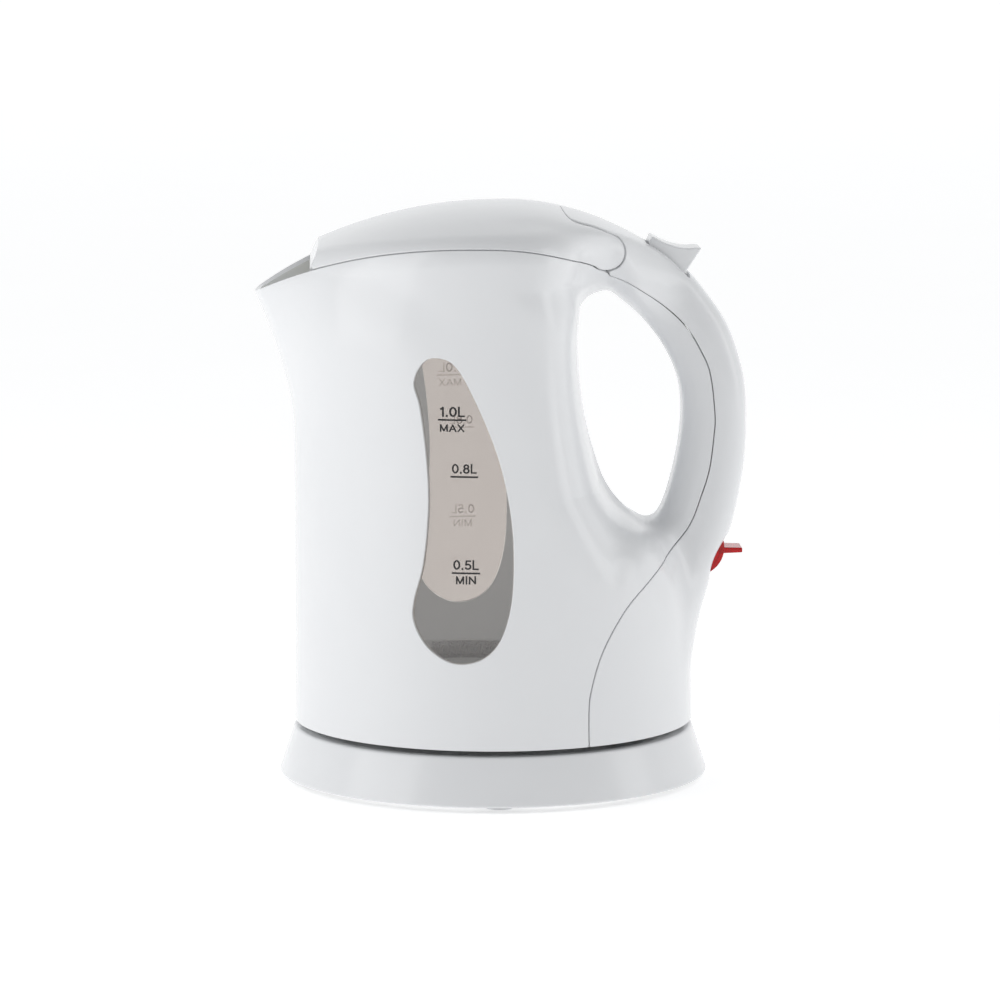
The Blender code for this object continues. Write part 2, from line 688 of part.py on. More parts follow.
def steam_pipe():
    route = [(44.5, 0, 164.2), (53.8, 0, 157.4), (62.0, 0, 146.2), (67.9, 0, 132.2), (68.8, 0, 116.5),
             (66.4, 0, 101.0), (64.0, 0, 92.5)]
    return finish(tube("steam_pipe", route, 3.2, hollow=0.9), "steam_pipe", natural_nylon())


# ------------------------------------------------------------------- heater and its control
def element_head():
    x = PARTITION_X - 4.3
    head = disc("element_head", (x, 0, HEAD_Z), HEAD_RADIUS + 3.4, 2.0, axis="X")
    join(head, disc("spigot", (x + 1, 0, HEAD_Z), HEAD_RADIUS, 8.0, axis="X"))
    return finish(head, "element_head", brass())


def element_gasket():
    x = PARTITION_X - 2.0
    ring = disc("element_gasket", (x, 0, HEAD_Z), HEAD_RADIUS + 3.2, 1.6, axis="X")
    cut(ring, disc("bore", (x - 2, 0, HEAD_Z), HEAD_RADIUS + CLEARANCE, 6, axis="X"))
    return finish(ring, "element_gasket", grey_rubber())


def heating_element():
    """A tube that leaves the head, drops to the floor and loops once round the vessel."""
    x, z = PARTITION_X - 5.2, HEAD_Z - 4.0
    turns = np.radians(np.arange(50, 311, 20))
    loop = [(-8 + 36 * math.cos(angle), 36 * math.sin(angle), 36.0) for angle in turns]
    start = [(x, 9.0, z), (x - 4, 9.2, z - 0.6), (x - 10, 13.0, 38.5)]
    end = [(px, -py, pz) for px, py, pz in reversed(start)]
    return finish(tube("heating_element", start + loop + end, 3.2), "heating_element", stainless())


def control_unit():
    """Boil-dry and steam thermostat block, behind the element's head."""
    x = PARTITION_X + 5.2
    block = box("control_unit", (x, -15.0, 36.5), (x + 14, 15.0, 63.0))
    join(block, box("top", (x + 2, -9.0, 62.0), (x + 11, 9.0, 67.5)))
    return finish(block, "control_unit", dark_plastic())


def steam_disc():
    disc_x = PARTITION_X + 5.2 + 14 + CLEARANCE
    return finish(disc("steam_disc", (disc_x, 0, 56.0), 9.0, 0.8, axis="X"), "steam_disc", stainless())


def neon_lamp():
    lamp = disc("neon_lamp", (59.5, -5.0, 66.0), 2.0, 10.0, axis="Y", sides=12)
    return finish(lamp, "neon_lamp", material("neon_glass", (0.9, 0.55, 0.45), 0.1, alpha=0.6))


def inlet_block():
    """Socket in the jug's underside that drops over the base's plug tower."""
    low, high = JUG_BOTTOM + 1.2, 33.5
    block = box("inlet_block", (INLET_X - 8.5, -12.5, low), (INLET_X + 8.5, 12.5, high))
    cut(block, box("pocket", (INLET_X - 6.0, -10.0, 0), (INLET_X + 6.0, 10.0, high - 2.5)))
    return finish(block, "inlet_block", dark_plastic())


def inlet_pin(name, y):
    pin = disc(name, (INLET_X, y, 24.2), 1.2, 6.5, sides=12)
    return finish(pin, name, brass())


def jug_screw_places():
    return [(18.0, 48.0), (18.0, -48.0), (-50.0, 0.0)]


def jug_bottom_cover():
    low = JUG_BOTTOM + 1.5
    plate = disc("jug_bottom_cover", (0, 0, low), JUG_RADIUS - WALL - 0.9, WALL, sides=56)
    cut(plate, box("inlet_opening", (INLET_X - 9.0, -13.0, 0), (INLET_X + 9.0, 13.0, 40)))
    for x, y in jug_screw_places():
        cut(plate, disc("hole", (x, y, 0), SCREW_HOLE_RADIUS, 40, sides=12))
    return finish(plate, "jug_bottom_cover", white_plastic())


def screw(name, x, y, head_bottom, length):
    """Pan-head screw driven upwards."""
    top = head_bottom + 1.1
    profile = [(0.0, head_bottom + length), (1.5, head_bottom + length), (1.5, top), (2.9, top),
               (2.9, head_bottom + 0.4), (2.5, head_bottom), (0.0, head_bottom)]
    return finish(turned(name, profile, (x, y), sides=10), name, stainless())


# ----------------------------------------------------------------------------------- base
def base_screw_places():
    return [(44 * math.cos(a), 44 * math.sin(a)) for a in np.radians([60, 180, 300])]


def base_housing():
    """Sloping ring wall with a dished top that the jug stands in."""
    slope = (BASE_RADIUS - BASE_TOP_RADIUS) / (BASE_TOP - BASE_BOTTOM)
    profile = [
        (0.0, BASE_DISH), (61.0, BASE_DISH), (62.4, BASE_TOP - 0.4), (63.0, BASE_TOP),
        (BASE_TOP_RADIUS - 1.2, BASE_TOP), (BASE_TOP_RADIUS - 0.3, BASE_TOP - 0.4),
        (BASE_TOP_RADIUS + 1.2 * slope, BASE_TOP - 1.2), (BASE_RADIUS - 1.6 * slope, BASE_BOTTOM + 1.6),
        (BASE_RADIUS - 0.4, BASE_BOTTOM + 0.5), (BASE_RADIUS - 1.2, BASE_BOTTOM),
        (BASE_RADIUS - WALL, BASE_BOTTOM), (BASE_TOP_RADIUS - WALL + 1.0, BASE_DISH - WALL),
        (0.0, BASE_DISH - WALL),
    ]
    housing = turned("base_housing", profile, sides=56)
    cut(housing, box("tower_hole", (INLET_X - 5.9, -9.9, 0), (INLET_X + 5.9, 9.9, 30)))
    for x, y in base_screw_places():
        join(housing, disc("boss", (x, y, 5.4), 3.4, BASE_DISH - WALL - 5.0, sides=16))
        cut(housing, disc("bore", (x, y, 0), SCREW_HOLE_RADIUS, 12.0, sides=12))
    cut(housing, cord_way("cord_hole", CORD_HOLE_RADIUS + 1.1 + CLEARANCE, 55.0, 85.0))
    return finish(housing, "base_housing", white_plastic())


def cord_way(name, radius, start, end):
    """A round bar lying where the power cord enters the base, on its left-hand side."""
    return disc(name, (0, start, CORD_Z), radius, end - start, axis="Y", sides=20)


def cord_grommet():
    grommet = cord_way("cord_grommet", CORD_HOLE_RADIUS + 1.1, 65.5, 68.8)
    cut(grommet, cord_way("bore", CORD_HOLE_RADIUS, 60.0, 75.0))
    return finish(grommet, "cord_grommet", grey_rubber())


def base_plate():
    plate = disc("base_plate", (0, 0, 3.3), BASE_TOP_RADIUS - 1.0, 1.7, sides=56)
    for x, y in base_screw_places():
        cut(plate, disc("hole", (x, y, 0), SCREW_HOLE_RADIUS, 10, sides=12))
    return finish(plate, "base_plate", white_plastic())


def rubber_foot(index):
    angle = math.radians(90 * index)
    place = (FOOT_CIRCLE * math.cos(angle), FOOT_CIRCLE * math.sin(angle))
    profile = [(0.0, 2.95), (FOOT_RADIUS, 2.95), (FOOT_RADIUS, 0.8), (FOOT_RADIUS - 0.8, 0.0), (0.0, 0.0)]
    name = f"rubber_foot_{index + 1}"
    return finish(turned(name, profile, place, sides=20), name, grey_rubber())


def plug_tower():
    """Insulating block that stands up out of the base and carries the contacts."""
    top = 26.0
    tower = box("plug_tower", (INLET_X - 5.5, -9.5, 5.4), (INLET_X + 5.5, 9.5, top))
    for y in contact_places():
        cut(tower, disc("socket", (INLET_X, y, 8.0), 2.1, top, sides=16))
    return finish(tower, "plug_tower", dark_plastic())


def contact_places():
    return [-6.0, 0.0, 6.0]


def base_contact(name, y):
    """A split sleeve that grips the jug's pin."""
    sleeve = disc(name, (INLET_X, y, 8.4), 1.75, 16.2, sides=12)
    cut(sleeve, disc("bore", (INLET_X, y, 20.0), 1.5, 10, sides=12))
    return finish(sleeve, name, brass())


# ------------------------------------------------------------------------------- assembly
def build():
    for obj in list(bpy.data.objects):
        bpy.data.objects.remove(obj)

    outer = envelope("outer", 0.0, 2100)
    inner = envelope("inner", WALL, 1200)
    inmost = envelope("inmost", WALL + 0.7, 700)
    jug_body(outer, inner)
    window(outer, inner, "window_left", 1)
    window(outer, inner, "window_right", -1)
    handle_cover(outer, inner)
    lid_cover(outer, inner)
    lid_inner_plate(inmost)
    spout_filter(inmost)
    drop(outer, inner, inmost)

    cross_pin("lid_hinge_pin", HINGE, HINGE_PIN_RADIUS, 19.0)
    thumb_lever()
    cross_pin("thumb_lever_pin", THUMB_PIVOT, SMALL_PIN_RADIUS, THUMB_HALF_WIDTH + 1.6)
    rocker_switch()
    cross_pin("rocker_pin", ROCKER_PIVOT, SMALL_PIN_RADIUS, ROCKER_HALF_WIDTH + 1.6)
    steam_pipe()

    heating_element()
    element_head()
    element_gasket()
    control_unit()
    steam_disc()
    neon_lamp()
    inlet_block()
    jug_bottom_cover()
    for index, (x, y) in enumerate(jug_screw_places()):
        screw(f"jug_screw_{index + 1}", x, y, JUG_BOTTOM + 0.05, 7.0)

    base_housing()
    base_plate()
    cord_grommet()
    plug_tower()
    for index in range(4):
        rubber_foot(index)
    for index, (x, y) in enumerate(base_screw_places()):
        screw(f"base_screw_{index + 1}", x, y, 1.85, 8.0)
    for pole, y in zip(("live", "earth", "neutral"), contact_places()):
        inlet_pin(f"inlet_pin_{pole}", y)
        base_contact(f"base_contact_{pole}", y)


build()
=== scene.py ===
"""The looks of the cordless electric kettle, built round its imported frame.

Sizes here are in millimetres from the jug's own upright axis, with +Z up, the spout towards
-X and the handle towards +X.  They become metres in the frame's coordinates when a mesh is
made.  The jug, the lid and the handle's cover share one outer surface, the envelope: it is
meshed finely once, scored along the seams, and each moulding takes its own stretch of it.
"""
import json
import math

import bmesh
import bpy
import numpy as np
import openvdb
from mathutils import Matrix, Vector


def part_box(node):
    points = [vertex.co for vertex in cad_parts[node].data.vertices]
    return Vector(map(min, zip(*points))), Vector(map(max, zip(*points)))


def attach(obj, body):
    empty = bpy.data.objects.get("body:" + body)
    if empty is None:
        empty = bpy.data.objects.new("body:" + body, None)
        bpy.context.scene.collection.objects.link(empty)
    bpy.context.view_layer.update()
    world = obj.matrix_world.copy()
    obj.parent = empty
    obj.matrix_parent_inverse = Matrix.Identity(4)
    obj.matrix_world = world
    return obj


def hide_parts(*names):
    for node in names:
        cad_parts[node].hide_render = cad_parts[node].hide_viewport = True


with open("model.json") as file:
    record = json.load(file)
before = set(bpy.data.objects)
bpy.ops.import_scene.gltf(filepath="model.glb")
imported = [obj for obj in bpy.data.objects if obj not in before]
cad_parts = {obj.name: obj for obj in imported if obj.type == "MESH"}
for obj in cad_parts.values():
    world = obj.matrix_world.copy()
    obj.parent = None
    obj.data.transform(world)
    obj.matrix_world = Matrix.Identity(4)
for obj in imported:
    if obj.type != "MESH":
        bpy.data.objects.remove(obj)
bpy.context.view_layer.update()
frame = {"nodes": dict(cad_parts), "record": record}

MM = 0.001
base_low, base_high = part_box("base_housing")
AXIS = np.array([(base_low.x + base_high.x) / 2 / MM, 0.0, 0.0])

# ---------------------------------------------------------------- sizes, as the frame has them
WALL = 2.2
JUG_RADIUS = 65.5
JUG_BOTTOM = 19.5
FLOOR_TOP = 28.4
CREST_X, CREST_Z = 1.0, 191.15
CROWN_FRONT, CROWN_REAR, CROWN_SIDE = 137.0, 91.0, 275.0
SPOUT_START, SPOUT_TIP_Z, SPOUT_REACH = 108.0, 162.3, 14.0
RIM_TOP_X, RIM_TOP_Z = -5.0, 180.6
RIM_FRONT, RIM_REAR = 56.8, 39.7
GRIP_HALF_WIDTH, ROOT_WIDENING = 12.5, 17.0
LID_FRONT_X, LID_FRONT_Z, LID_FRONT_LEAN = -60.3, 171.3, 0.424
HINGE = (36.0, 176.5)
BARREL_RADIUS = 5.95
BARREL_TOP = 64.0                 # degrees: the lid's barrel runs up to here, then the tongue's edge
HAIRLINE = 0.05                   # gap of the tightest seam, between the lid and the tongue
PLATE_SHORT = 4.4                 # from the lid's plate to the tongue, so that it can swing past
BRACKET_HALF_WIDTH = 11.2
SCOOP_CENTRE, SCOOP_RADIUS = (90.3, 66.7), 18.4
ROCKER_PIVOT, ROCKER_RADIUS, ROCKER_HALF_WIDTH = (67.0, 76.6), 9.4, 7.5
THUMB_PIVOT, THUMB_HALF_WIDTH = (53.5, 168.2), 7.8
PARTITION_X = 30.0
BASE_RADIUS, BASE_TOP_RADIUS = 71.2, 66.0
BASE_BOTTOM, BASE_TOP, BASE_DISH = 1.9, 17.5, 15.6
CORD_Z, CORD_HOLE_RADIUS = 8.4, 4.75

# ------------------------------------------------------------------- sizes of the finer detail
SEAM = 0.28              # open width of a seam
TIGHT_SEAM = 0.12        # the same where the mouldings press together
EDGE = 0.28              # rounding of a moulding's edge at a seam
SKIN_STEP = 1.5          # fineness of the envelope's mesh

HAND_HOLE = [
    (37.0, 161.7), (30.9, 159.2), (27.9, 152.0), (27.9, 140.0), (29.8, 126.7), (33.8, 110.7),
    (40.5, 94.6), (46.2, 87.6), (51.3, 85.5), (55.3, 88.8), (59.1, 99.9), (62.0, 116.0),
    (61.5, 130.5), (56.6, 142.6), (49.2, 152.6), (42.5, 158.6),
]
HANDLE_BACK = [
    (12.0, 180.0), (27.0, 183.5), (41.2, 182.2), (50.1, 178.3), (58.5, 173.0), (65.0, 167.3),
    (70.2, 160.9), (75.6, 153.2), (79.3, 145.2), (82.7, 133.0), (83.6, 119.5), (82.9, 104.5),
    (80.4, 90.0), (77.6, 79.5), (73.9, 70.5), (69.6, 62.2), (64.0, 54.0), (57.0, 44.0), (40.0, 25.0),
]
HANDLE_SEAM = [
    (29.2, 10.0), (29.0, 31.1), (30.0, 38.9), (32.8, 48.2), (36.8, 56.2), (42.5, 64.4), (50.5, 71.8),
    (58.5, 77.9), (64.5, 85.0), (68.4, 95.1), (70.9, 103.5), (72.3, 114.4), (72.6, 121.5),
    (71.0, 134.9), (67.9, 142.5), (63.3, 150.1), (57.6, 155.9), (50.1, 161.6), (43.2, 166.0),
    (37.1, 168.5),
]
WINDOW = [
    (-19.9, 146.0), (-24.4, 144.4), (-27.3, 138.0), (-25.4, 130.0), (-23.4, 114.0), (-22.8, 98.0),
    (-24.4, 80.0), (-27.4, 67.8), (-27.4, 60.5), (-22.9, 52.6), (-15.0, 47.9), (-6.5, 48.9),
    (-0.2, 54.7), (3.5, 66.0), (4.5, 81.0), (3.4, 96.5), (-0.4, 114.0), (-7.4, 131.4), (-14.0, 143.2),
]

LEFT_WINDOW_SHIFT = 2.5   # how much nearer to the handle the left-hand window sits
PANE_SINK = 0.12
MARK_RELIEF = 0.05
LETTER_SPACE = 0.12
TONGUE_EDGE = [           # of the cover's tongue over the lid, forwards from above the barrel
    (36.5, 182.92), (33.7, 184.1), (30.8, 185.15), (28.1, 185.9), (25.8, 186.6), (24.05, 187.4),
    (23.0, 188.3), (22.4, 189.1),
]
MARK_WORDS = [            # text, middle x, foot z, width, height
    ("1.0L", -15.1, 127.3, 8.0, 3.4), ("MAX", -15.1, 122.5, 7.9, 2.65), ("0.8L", -11.3, 109.2, 7.9, 3.2),
    ("0.5L", -10.8, 78.2, 8.1, 3.3), ("MIN", -10.8, 73.6, 6.5, 2.7),
]
MARK_LINES = [(-15.1, 126.1, 9.0), (-11.3, 107.9, 8.8), (-10.8, 76.9, 9.1)]  # middle x, z, width


# ----------------------------------------------------------------------------------- curves
def smooth_curve(points, closed, steps=16):
    """Points of a Catmull-Rom curve through the given ones."""
    p = np.array(points, float)
    if closed:
        p = np.vstack([p[-1], p, p[0], p[1]])
    else:
        p = np.vstack([2 * p[0] - p[1], p, 2 * p[-1] - p[-2]])
    t = np.linspace(0, 1, steps, endpoint=False)[:, None]
    spans = []
    for a, b, c, d in zip(p, p[1:], p[2:], p[3:]):
        bend = 2 * a - 5 * b + 4 * c - d
        twist = 3 * b - a - 3 * c + d
        spans.append(b + 0.5 * t * (c - a + t * (bend + t * twist)))
    if not closed:
        spans.append(p[-2:-1])
    return np.vstack(spans)


def arc(centre, radius, start, end, steps=24):
    """Points of an arc, from one angle to another, in degrees."""
    angles = np.radians(np.linspace(start, end, steps + 1))
    return np.column_stack([centre[0] + radius * np.cos(angles), centre[1] + radius * np.sin(angles)])


def offset_curve(points, distance):
    """An open curve moved sideways, to the right of its direction of travel."""
    p = np.array(points, float)
    along = np.gradient(p, axis=0)
    along /= np.linalg.norm(along, axis=1)[:, None]
    sideways = np.column_stack([along[:, 1], -along[:, 0]])
    return p + np.broadcast_to(distance, len(p))[:, None] * sideways


def smooth_max(a, b, k):
    h = np.maximum(k - np.abs(a - b), 0.0)
    return np.maximum(a, b) + h * h / (4 * k)


def smooth_min(a, b, k):
    return -smooth_max(-a, -b, k)


def smooth_step(low, high, value):
    t = np.clip((value - low) / (high - low), 0.0, 1.0)
    return t * t * (3 - 2 * t)


def outline_distance(outline, x, z):
    """Distance to a closed outline, negative inside it."""
    nearest = np.full(x.shape, 1e9)
    inside = np.zeros(x.shape, bool)
    for (x0, z0), (x1, z1) in zip(outline, np.roll(outline, -1, axis=0)):
        ex, ez = x1 - x0, z1 - z0
        t = np.clip(((x - x0) * ex + (z - z0) * ez) / max(ex * ex + ez * ez, 1e-12), 0.0, 1.0)
        nearest = np.minimum(nearest, (x - x0 - t * ex) ** 2 + (z - z0 - t * ez) ** 2)
        if z0 != z1:
            inside ^= ((z0 <= z) != (z1 <= z)) & (x < x0 + (z - z0) * ex / ez)
    return np.where(inside, -1.0, 1.0) * np.sqrt(nearest)


class Side:
    """Distance to an outline in the upright x-z plane, kept in a table and read smoothly."""

    STEP = 0.5
    LOW = np.array([-92.0, 0.0])
    COUNT = (370, 440)

    def __init__(self, outline):
        x = self.LOW[0] + self.STEP * np.arange(self.COUNT[0])
        z = self.LOW[1] + self.STEP * np.arange(self.COUNT[1])
        self.table = outline_distance(outline, *np.meshgrid(x, z, indexing="ij")).ravel()

    def __call__(self, x, z):
        places, weights = [], []
        for value, low, count in zip((x, z), self.LOW, self.COUNT):
            scaled = np.clip((value - low) / self.STEP, 1.0, count - 2.001)
            cell = scaled.astype(int)
            t = scaled - cell
            places.append(cell)
            weights.append((
                t * (-0.5 + t * (1 - 0.5 * t)), 1 + t * t * (-2.5 + 1.5 * t),
                t * (0.5 + t * (2 - 1.5 * t)), t * t * (-0.5 + 0.5 * t),
            ))
        total = np.zeros(np.shape(x))
        for i in range(4):
            for j in range(4):
                index = (places[0] + i - 1) * self.COUNT[1] + places[1] + j - 1
                total += weights[0][i] * weights[1][j] * self.table[index]
        return total


# --------------------------------------------------------------------------------- envelope
def two_circle_plan(x, y, c1, r1, c2, r2):
    """Distance to the outline round two circles, centred at -c1 and, in front, at -c2."""
    side, ahead = np.abs(y), -(x + c1)
    apart = np.maximum(c2 - c1, 1e-6)
    slope = np.clip((r1 - r2) / apart, -1.0, 1.0)
    run = np.sqrt(1 - slope * slope)
    along = ahead * run - side * slope
    rear = np.hypot(side, ahead) - r1
    front = np.hypot(side, ahead - apart) - r2
    flank = side * run + ahead * slope - r1
    hull = np.where(along < 0, rear, np.where(along > apart * run, front, flank))
    return np.where(apart <= np.abs(r1 - r2), np.minimum(rear, front), hull)


def jug_plan(x, y, z):
    """The jug's round wall with the spout's flare, which grows towards the rim."""
    rise = np.clip((z - SPOUT_START) / (SPOUT_TIP_Z - SPOUT_START), 0.0, None) ** 1.8
    reach = SPOUT_REACH * rise
    shoulder_radius = JUG_RADIUS - 0.8 - 3.0 * rise * rise
    shoulder_x = reach * (1 - 0.38 * np.minimum(rise, 1.3))
    nose_radius = np.maximum(62.0 - 43.0 * rise, 6.0)
    nose_x = JUG_RADIUS - 0.8 + reach - nose_radius
    spout = two_circle_plan(x, y, shoulder_x, shoulder_radius, nose_x, nose_radius)
    foot_flare = 0.5 * np.clip((60.0 - z) / 40.0, 0.0, 1.0) ** 2
    return smooth_min(np.hypot(x, y) - JUG_RADIUS - foot_flare, spout, 1.6)


def crown_height(x, y):
    dx = x - CREST_X
    along = dx * dx / (2 * np.where(dx < 0, CROWN_FRONT, CROWN_REAR))
    return CREST_Z - along - y * y / (2 * CROWN_SIDE)


def handle_field(x, y, z):
    droop = y * y / (2 * CROWN_SIDE) * smooth_step(160.0, 175.0, z)
    side = handle_side(x, z + droop)
    root = smooth_step(64.0, 34.0, x) * smooth_step(148.0, 166.0, z)
    half_width = GRIP_HALF_WIDTH + ROOT_WIDENING * root
    return smooth_max(side, np.abs(y) - half_width, 10.0)


def envelope_field(x, y, z):
    """The kettle's whole outer surface, jug, handle and lid together, as a distance."""
    rear = 31.0 + 14.0 * smooth_step(168.0, 152.0, z) + 0.9 * np.maximum(100.0 - z, 0.0)
    body = smooth_max(jug_plan(x, y, z), x - rear, 30.0)
    body = smooth_max(body, z - crown_height(x, y), 8.0)
    blend = 10.0 + 4.0 * smooth_step(100.0, 60.0, z) + 8.0 * smooth_step(150.0, 165.0, z)
    whole = smooth_min(body, handle_field(x, y, z), blend)
    whole = smooth_max(whole, -hole_side(x, z), 9.0 + 15.0 * smooth_step(50.0, 36.0, x))
    whole = smooth_max(whole, z - crown_height(x, y) - 0.4, 1.6)
    scoop = SCOOP_RADIUS - np.hypot(x - SCOOP_CENTRE[0], z - SCOOP_CENTRE[1])
    whole = smooth_max(whole, scoop, 1.2)
    return np.maximum(whole, 10.0 - z)


def slope_of(field, p):
    h = 0.05
    return np.column_stack([
        (field(*(p + step).T) - field(*(p - step).T)) / (2 * h) for step in np.eye(3) * h
    ])


def unit(v):
    return v / np.maximum(np.linalg.norm(v, axis=1), 1e-9)[:, None]


def settle(p, field=None, level=0.0):
    """Move points on to the envelope and, if a field is given, on to its level line there."""
    for _ in range(3):
        slope = slope_of(envelope_field, p)
        size = np.maximum((slope * slope).sum(axis=1), 0.25)
        p = p - slope * np.clip(envelope_field(*p.T) / size, -1.5, 1.5)[:, None]
        if field is not None:
            normal = unit(slope)
            across = slope_of(field, p)
            across -= normal * (across * normal).sum(axis=1)[:, None]
            size = np.maximum((across * across).sum(axis=1), 0.1)
            p = p - across * np.clip((field(*p.T) - level) / size, -0.6, 0.6)[:, None]
    return p


def envelope_skin():
    """The envelope as points and triangles, facing outwards."""
    low = np.array([-88.0, -74.0, 4.0])
    counts = np.ceil(np.array([177.0, 148.0, 192.0]) / SKIN_STEP).astype(int)
    axes = [low[i] + SKIN_STEP * np.arange(counts[i]) for i in range(3)]
    grid = openvdb.FloatGrid(30.0)
    values = envelope_field(*np.meshgrid(*axes, indexing="ij"))
    grid.copyFromArray(values.astype(np.float32))
    points, quads = grid.convertToQuads(isovalue=0.0)
    points = settle(points * SKIN_STEP + low)
    first = np.linalg.norm(points[quads[:, 0]] - points[quads[:, 2]], axis=1)
    second = np.linalg.norm(points[quads[:, 1]] - points[quads[:, 3]], axis=1)
    quads = np.where((first <= second)[:, None], quads, np.roll(quads, 1, axis=1))
    triangles = np.vstack([quads[:, [0, 1, 2]], quads[:, [0, 2, 3]]]).astype(int)
    a, b, c = points[triangles].transpose(1, 0, 2)
    if np.einsum("ij,ij->i", a, np.cross(b, c)).sum() < 0:
        triangles = triangles[:, ::-1]
    return points, triangles


class Skin:
    """A fine triangle mesh that can be scored along the level lines of a field."""

    def __init__(self, points, triangles):
        self.points, self.triangles = points, triangles
        self.kept = np.zeros(len(points), bool)

    def score(self, field, level, snap):
        """Run a row of edges along the line where the field has the level."""
        value = field(*self.points.T) - level
        near = (np.abs(value) < snap) & ~self.kept
        self.points[near] = settle(self.points[near], field, level)
        self.kept |= near
        value[near] = 0.0
        value[np.abs(value) < 1e-3] = 0.0
        tri = self.triangles
        sign = np.sign(value).astype(int)[tri]
        crossed = sign * np.roll(sign, -1, axis=1) < 0
        edges = np.stack([tri, np.roll(tri, -1, axis=1)], axis=2)[crossed]
        pairs, index = np.unique(np.sort(edges, axis=1), axis=0, return_inverse=True)
        a, b = pairs.T
        share = (value[a] / (value[a] - value[b]))[:, None]
        fresh = settle(self.points[a] * (1 - share) + self.points[b] * share, field, level)
        middle = np.full(tri.shape, -1)
        middle[crossed] = len(self.points) + index.ravel()
        self.points = np.vstack([self.points, fresh])
        self.kept = np.append(self.kept, np.ones(len(fresh), bool))
        count = crossed.sum(axis=1)
        made = [tri[count == 0]]
        for corner in range(3):
            order = [corner, (corner + 1) % 3, (corner + 2) % 3]
            one = (count == 1) & crossed[:, corner]
            (p, q, r), m = tri[one][:, order].T, middle[one, corner]
            made += [np.column_stack([p, m, r]), np.column_stack([m, q, r])]
            two = (count == 2) & ~crossed[:, corner]
            (p, q, r), m, n = tri[two][:, order].T, middle[two, order[1]], middle[two, order[2]]
            made += [np.column_stack([n, m, r]), np.column_stack([p, q, m]), np.column_stack([p, m, n])]
        self.triangles = np.vstack(made)


# -------------------------------------------------------------------------- seams and regions
def rim_height(x):
    reach = x - RIM_TOP_X
    share = np.abs(reach) / np.where(reach < 0, RIM_FRONT, RIM_REAR)
    return RIM_TOP_Z - 10.0 * share ** 2.34


def rim_curve(first, last, raised):
    x = np.linspace(first, last, 70)
    return np.column_stack([x, rim_height(x) + raised])


def lid_front_x(z):
    return LID_FRONT_X + LID_FRONT_LEAN * (z - LID_FRONT_Z)


def handle_seam(side):
    """One edge of the seam between the jug and the handle's cover, which is tight on top."""
    seam = smooth_curve(HANDLE_SEAM, closed=False)
    top = smooth_step(60.0, 48.0, seam[:, 0]) * smooth_step(140.0, 158.0, seam[:, 1])
    return offset_curve(seam, side * (SEAM + (TIGHT_SEAM - SEAM) * top) / 2)


def tongue_edge(side):
    """One edge of the tight seam between the lid and the tongue: the tongue's is side 1."""
    return offset_curve(smooth_curve(TONGUE_EDGE, closed=False), side * HAIRLINE / 2)


def jug_outline():
    rear = handle_seam(-1)
    rim = rim_curve(HINGE[0] + 0.7, -95.0, -SEAM / 2)
    return np.vstack([[(-95.0, JUG_BOTTOM), (rear[0][0], JUG_BOTTOM)], rear[rear[:, 1] > JUG_BOTTOM], rim])


def ahead_outline():
    """Everything in front of the handle's cover."""
    seam = handle_seam(1)
    socket = (HINGE[0] + 0.08, HINGE[1] - 0.16)
    barrel = arc(socket, BARREL_RADIUS + 0.34, -84.0, BARREL_TOP)
    edge = tongue_edge(1)
    top = [(edge[-1][0], 215.0), (-95.0, 215.0), (-95.0, 0.0)]
    return np.vstack([[(seam[0][0], 0.0)], seam, barrel, edge, top])


def lid_outline():
    rim = rim_curve(LID_FRONT_X, HINGE[0] - 4.0, SEAM / 2)
    barrel = arc(HINGE, BARREL_RADIUS, -118.0, BARREL_TOP)
    edge = tongue_edge(-1)
    top = [(edge[-1][0], 205.0), (lid_front_x(205.0), 205.0)]
    return np.vstack([rim, barrel, edge, top])


def rounded_slot(u, v, half_u, half_v, corner):
    """Distance to a rectangle with round corners."""
    du, dv = np.abs(u) - half_u + corner, np.abs(v) - half_v + corner
    outside = np.hypot(np.maximum(du, 0), np.maximum(dv, 0))
    return outside + np.minimum(np.maximum(du, dv), 0) - corner


def thumb_slot(x, y, z):
    """The lever's slot on top of the handle, drawn from above."""
    slot = rounded_slot(x - 57.35, y, 7.05, THUMB_HALF_WIDTH + 0.5, 0.8)
    return np.where(z > 160.0, slot, 99.0)


def rocker_slot(x, y, z):
    """The switch's slot in the scoop, drawn from behind."""
    low, high = ROCKER_PIVOT[1] - 10.4, ROCKER_PIVOT[1] + 4.2
    slot = rounded_slot(y, z - (low + high) / 2, ROCKER_HALF_WIDTH + 0.5, (high - low) / 2, 0.8)
    return np.where(x > 60.0, slot, 99.0)


def window_field(x, y, z):
    place = window_side(x - np.where(y > 0, LEFT_WINDOW_SHIFT, 0.0), z)
    return np.where(np.abs(y) > 40.0, place, 99.0)


def jug_region(x, y, z):
    barrel_room = BARREL_RADIUS + SEAM - np.hypot(x - HINGE[0], z - HINGE[1])
    return np.maximum(np.maximum(jug_side(x, z), barrel_room), -window_field(x, y, z))


def pane_region(x, y, z):
    return window_field(x, y, z) + 0.12


def cover_region(x, y, z):
    rear = np.maximum(-ahead_side(x, z), JUG_BOTTOM - z)
    slots = np.minimum(thumb_slot(x, y, z), rocker_slot(x, y, z))
    return np.maximum(rear, -slots)


def lid_region(x, y, z):
    return lid_side(x, z)


# ------------------------------------------------------------------------------------ meshes
def to_frame(points):
    return (np.asarray(points, float) + AXIS) * MM


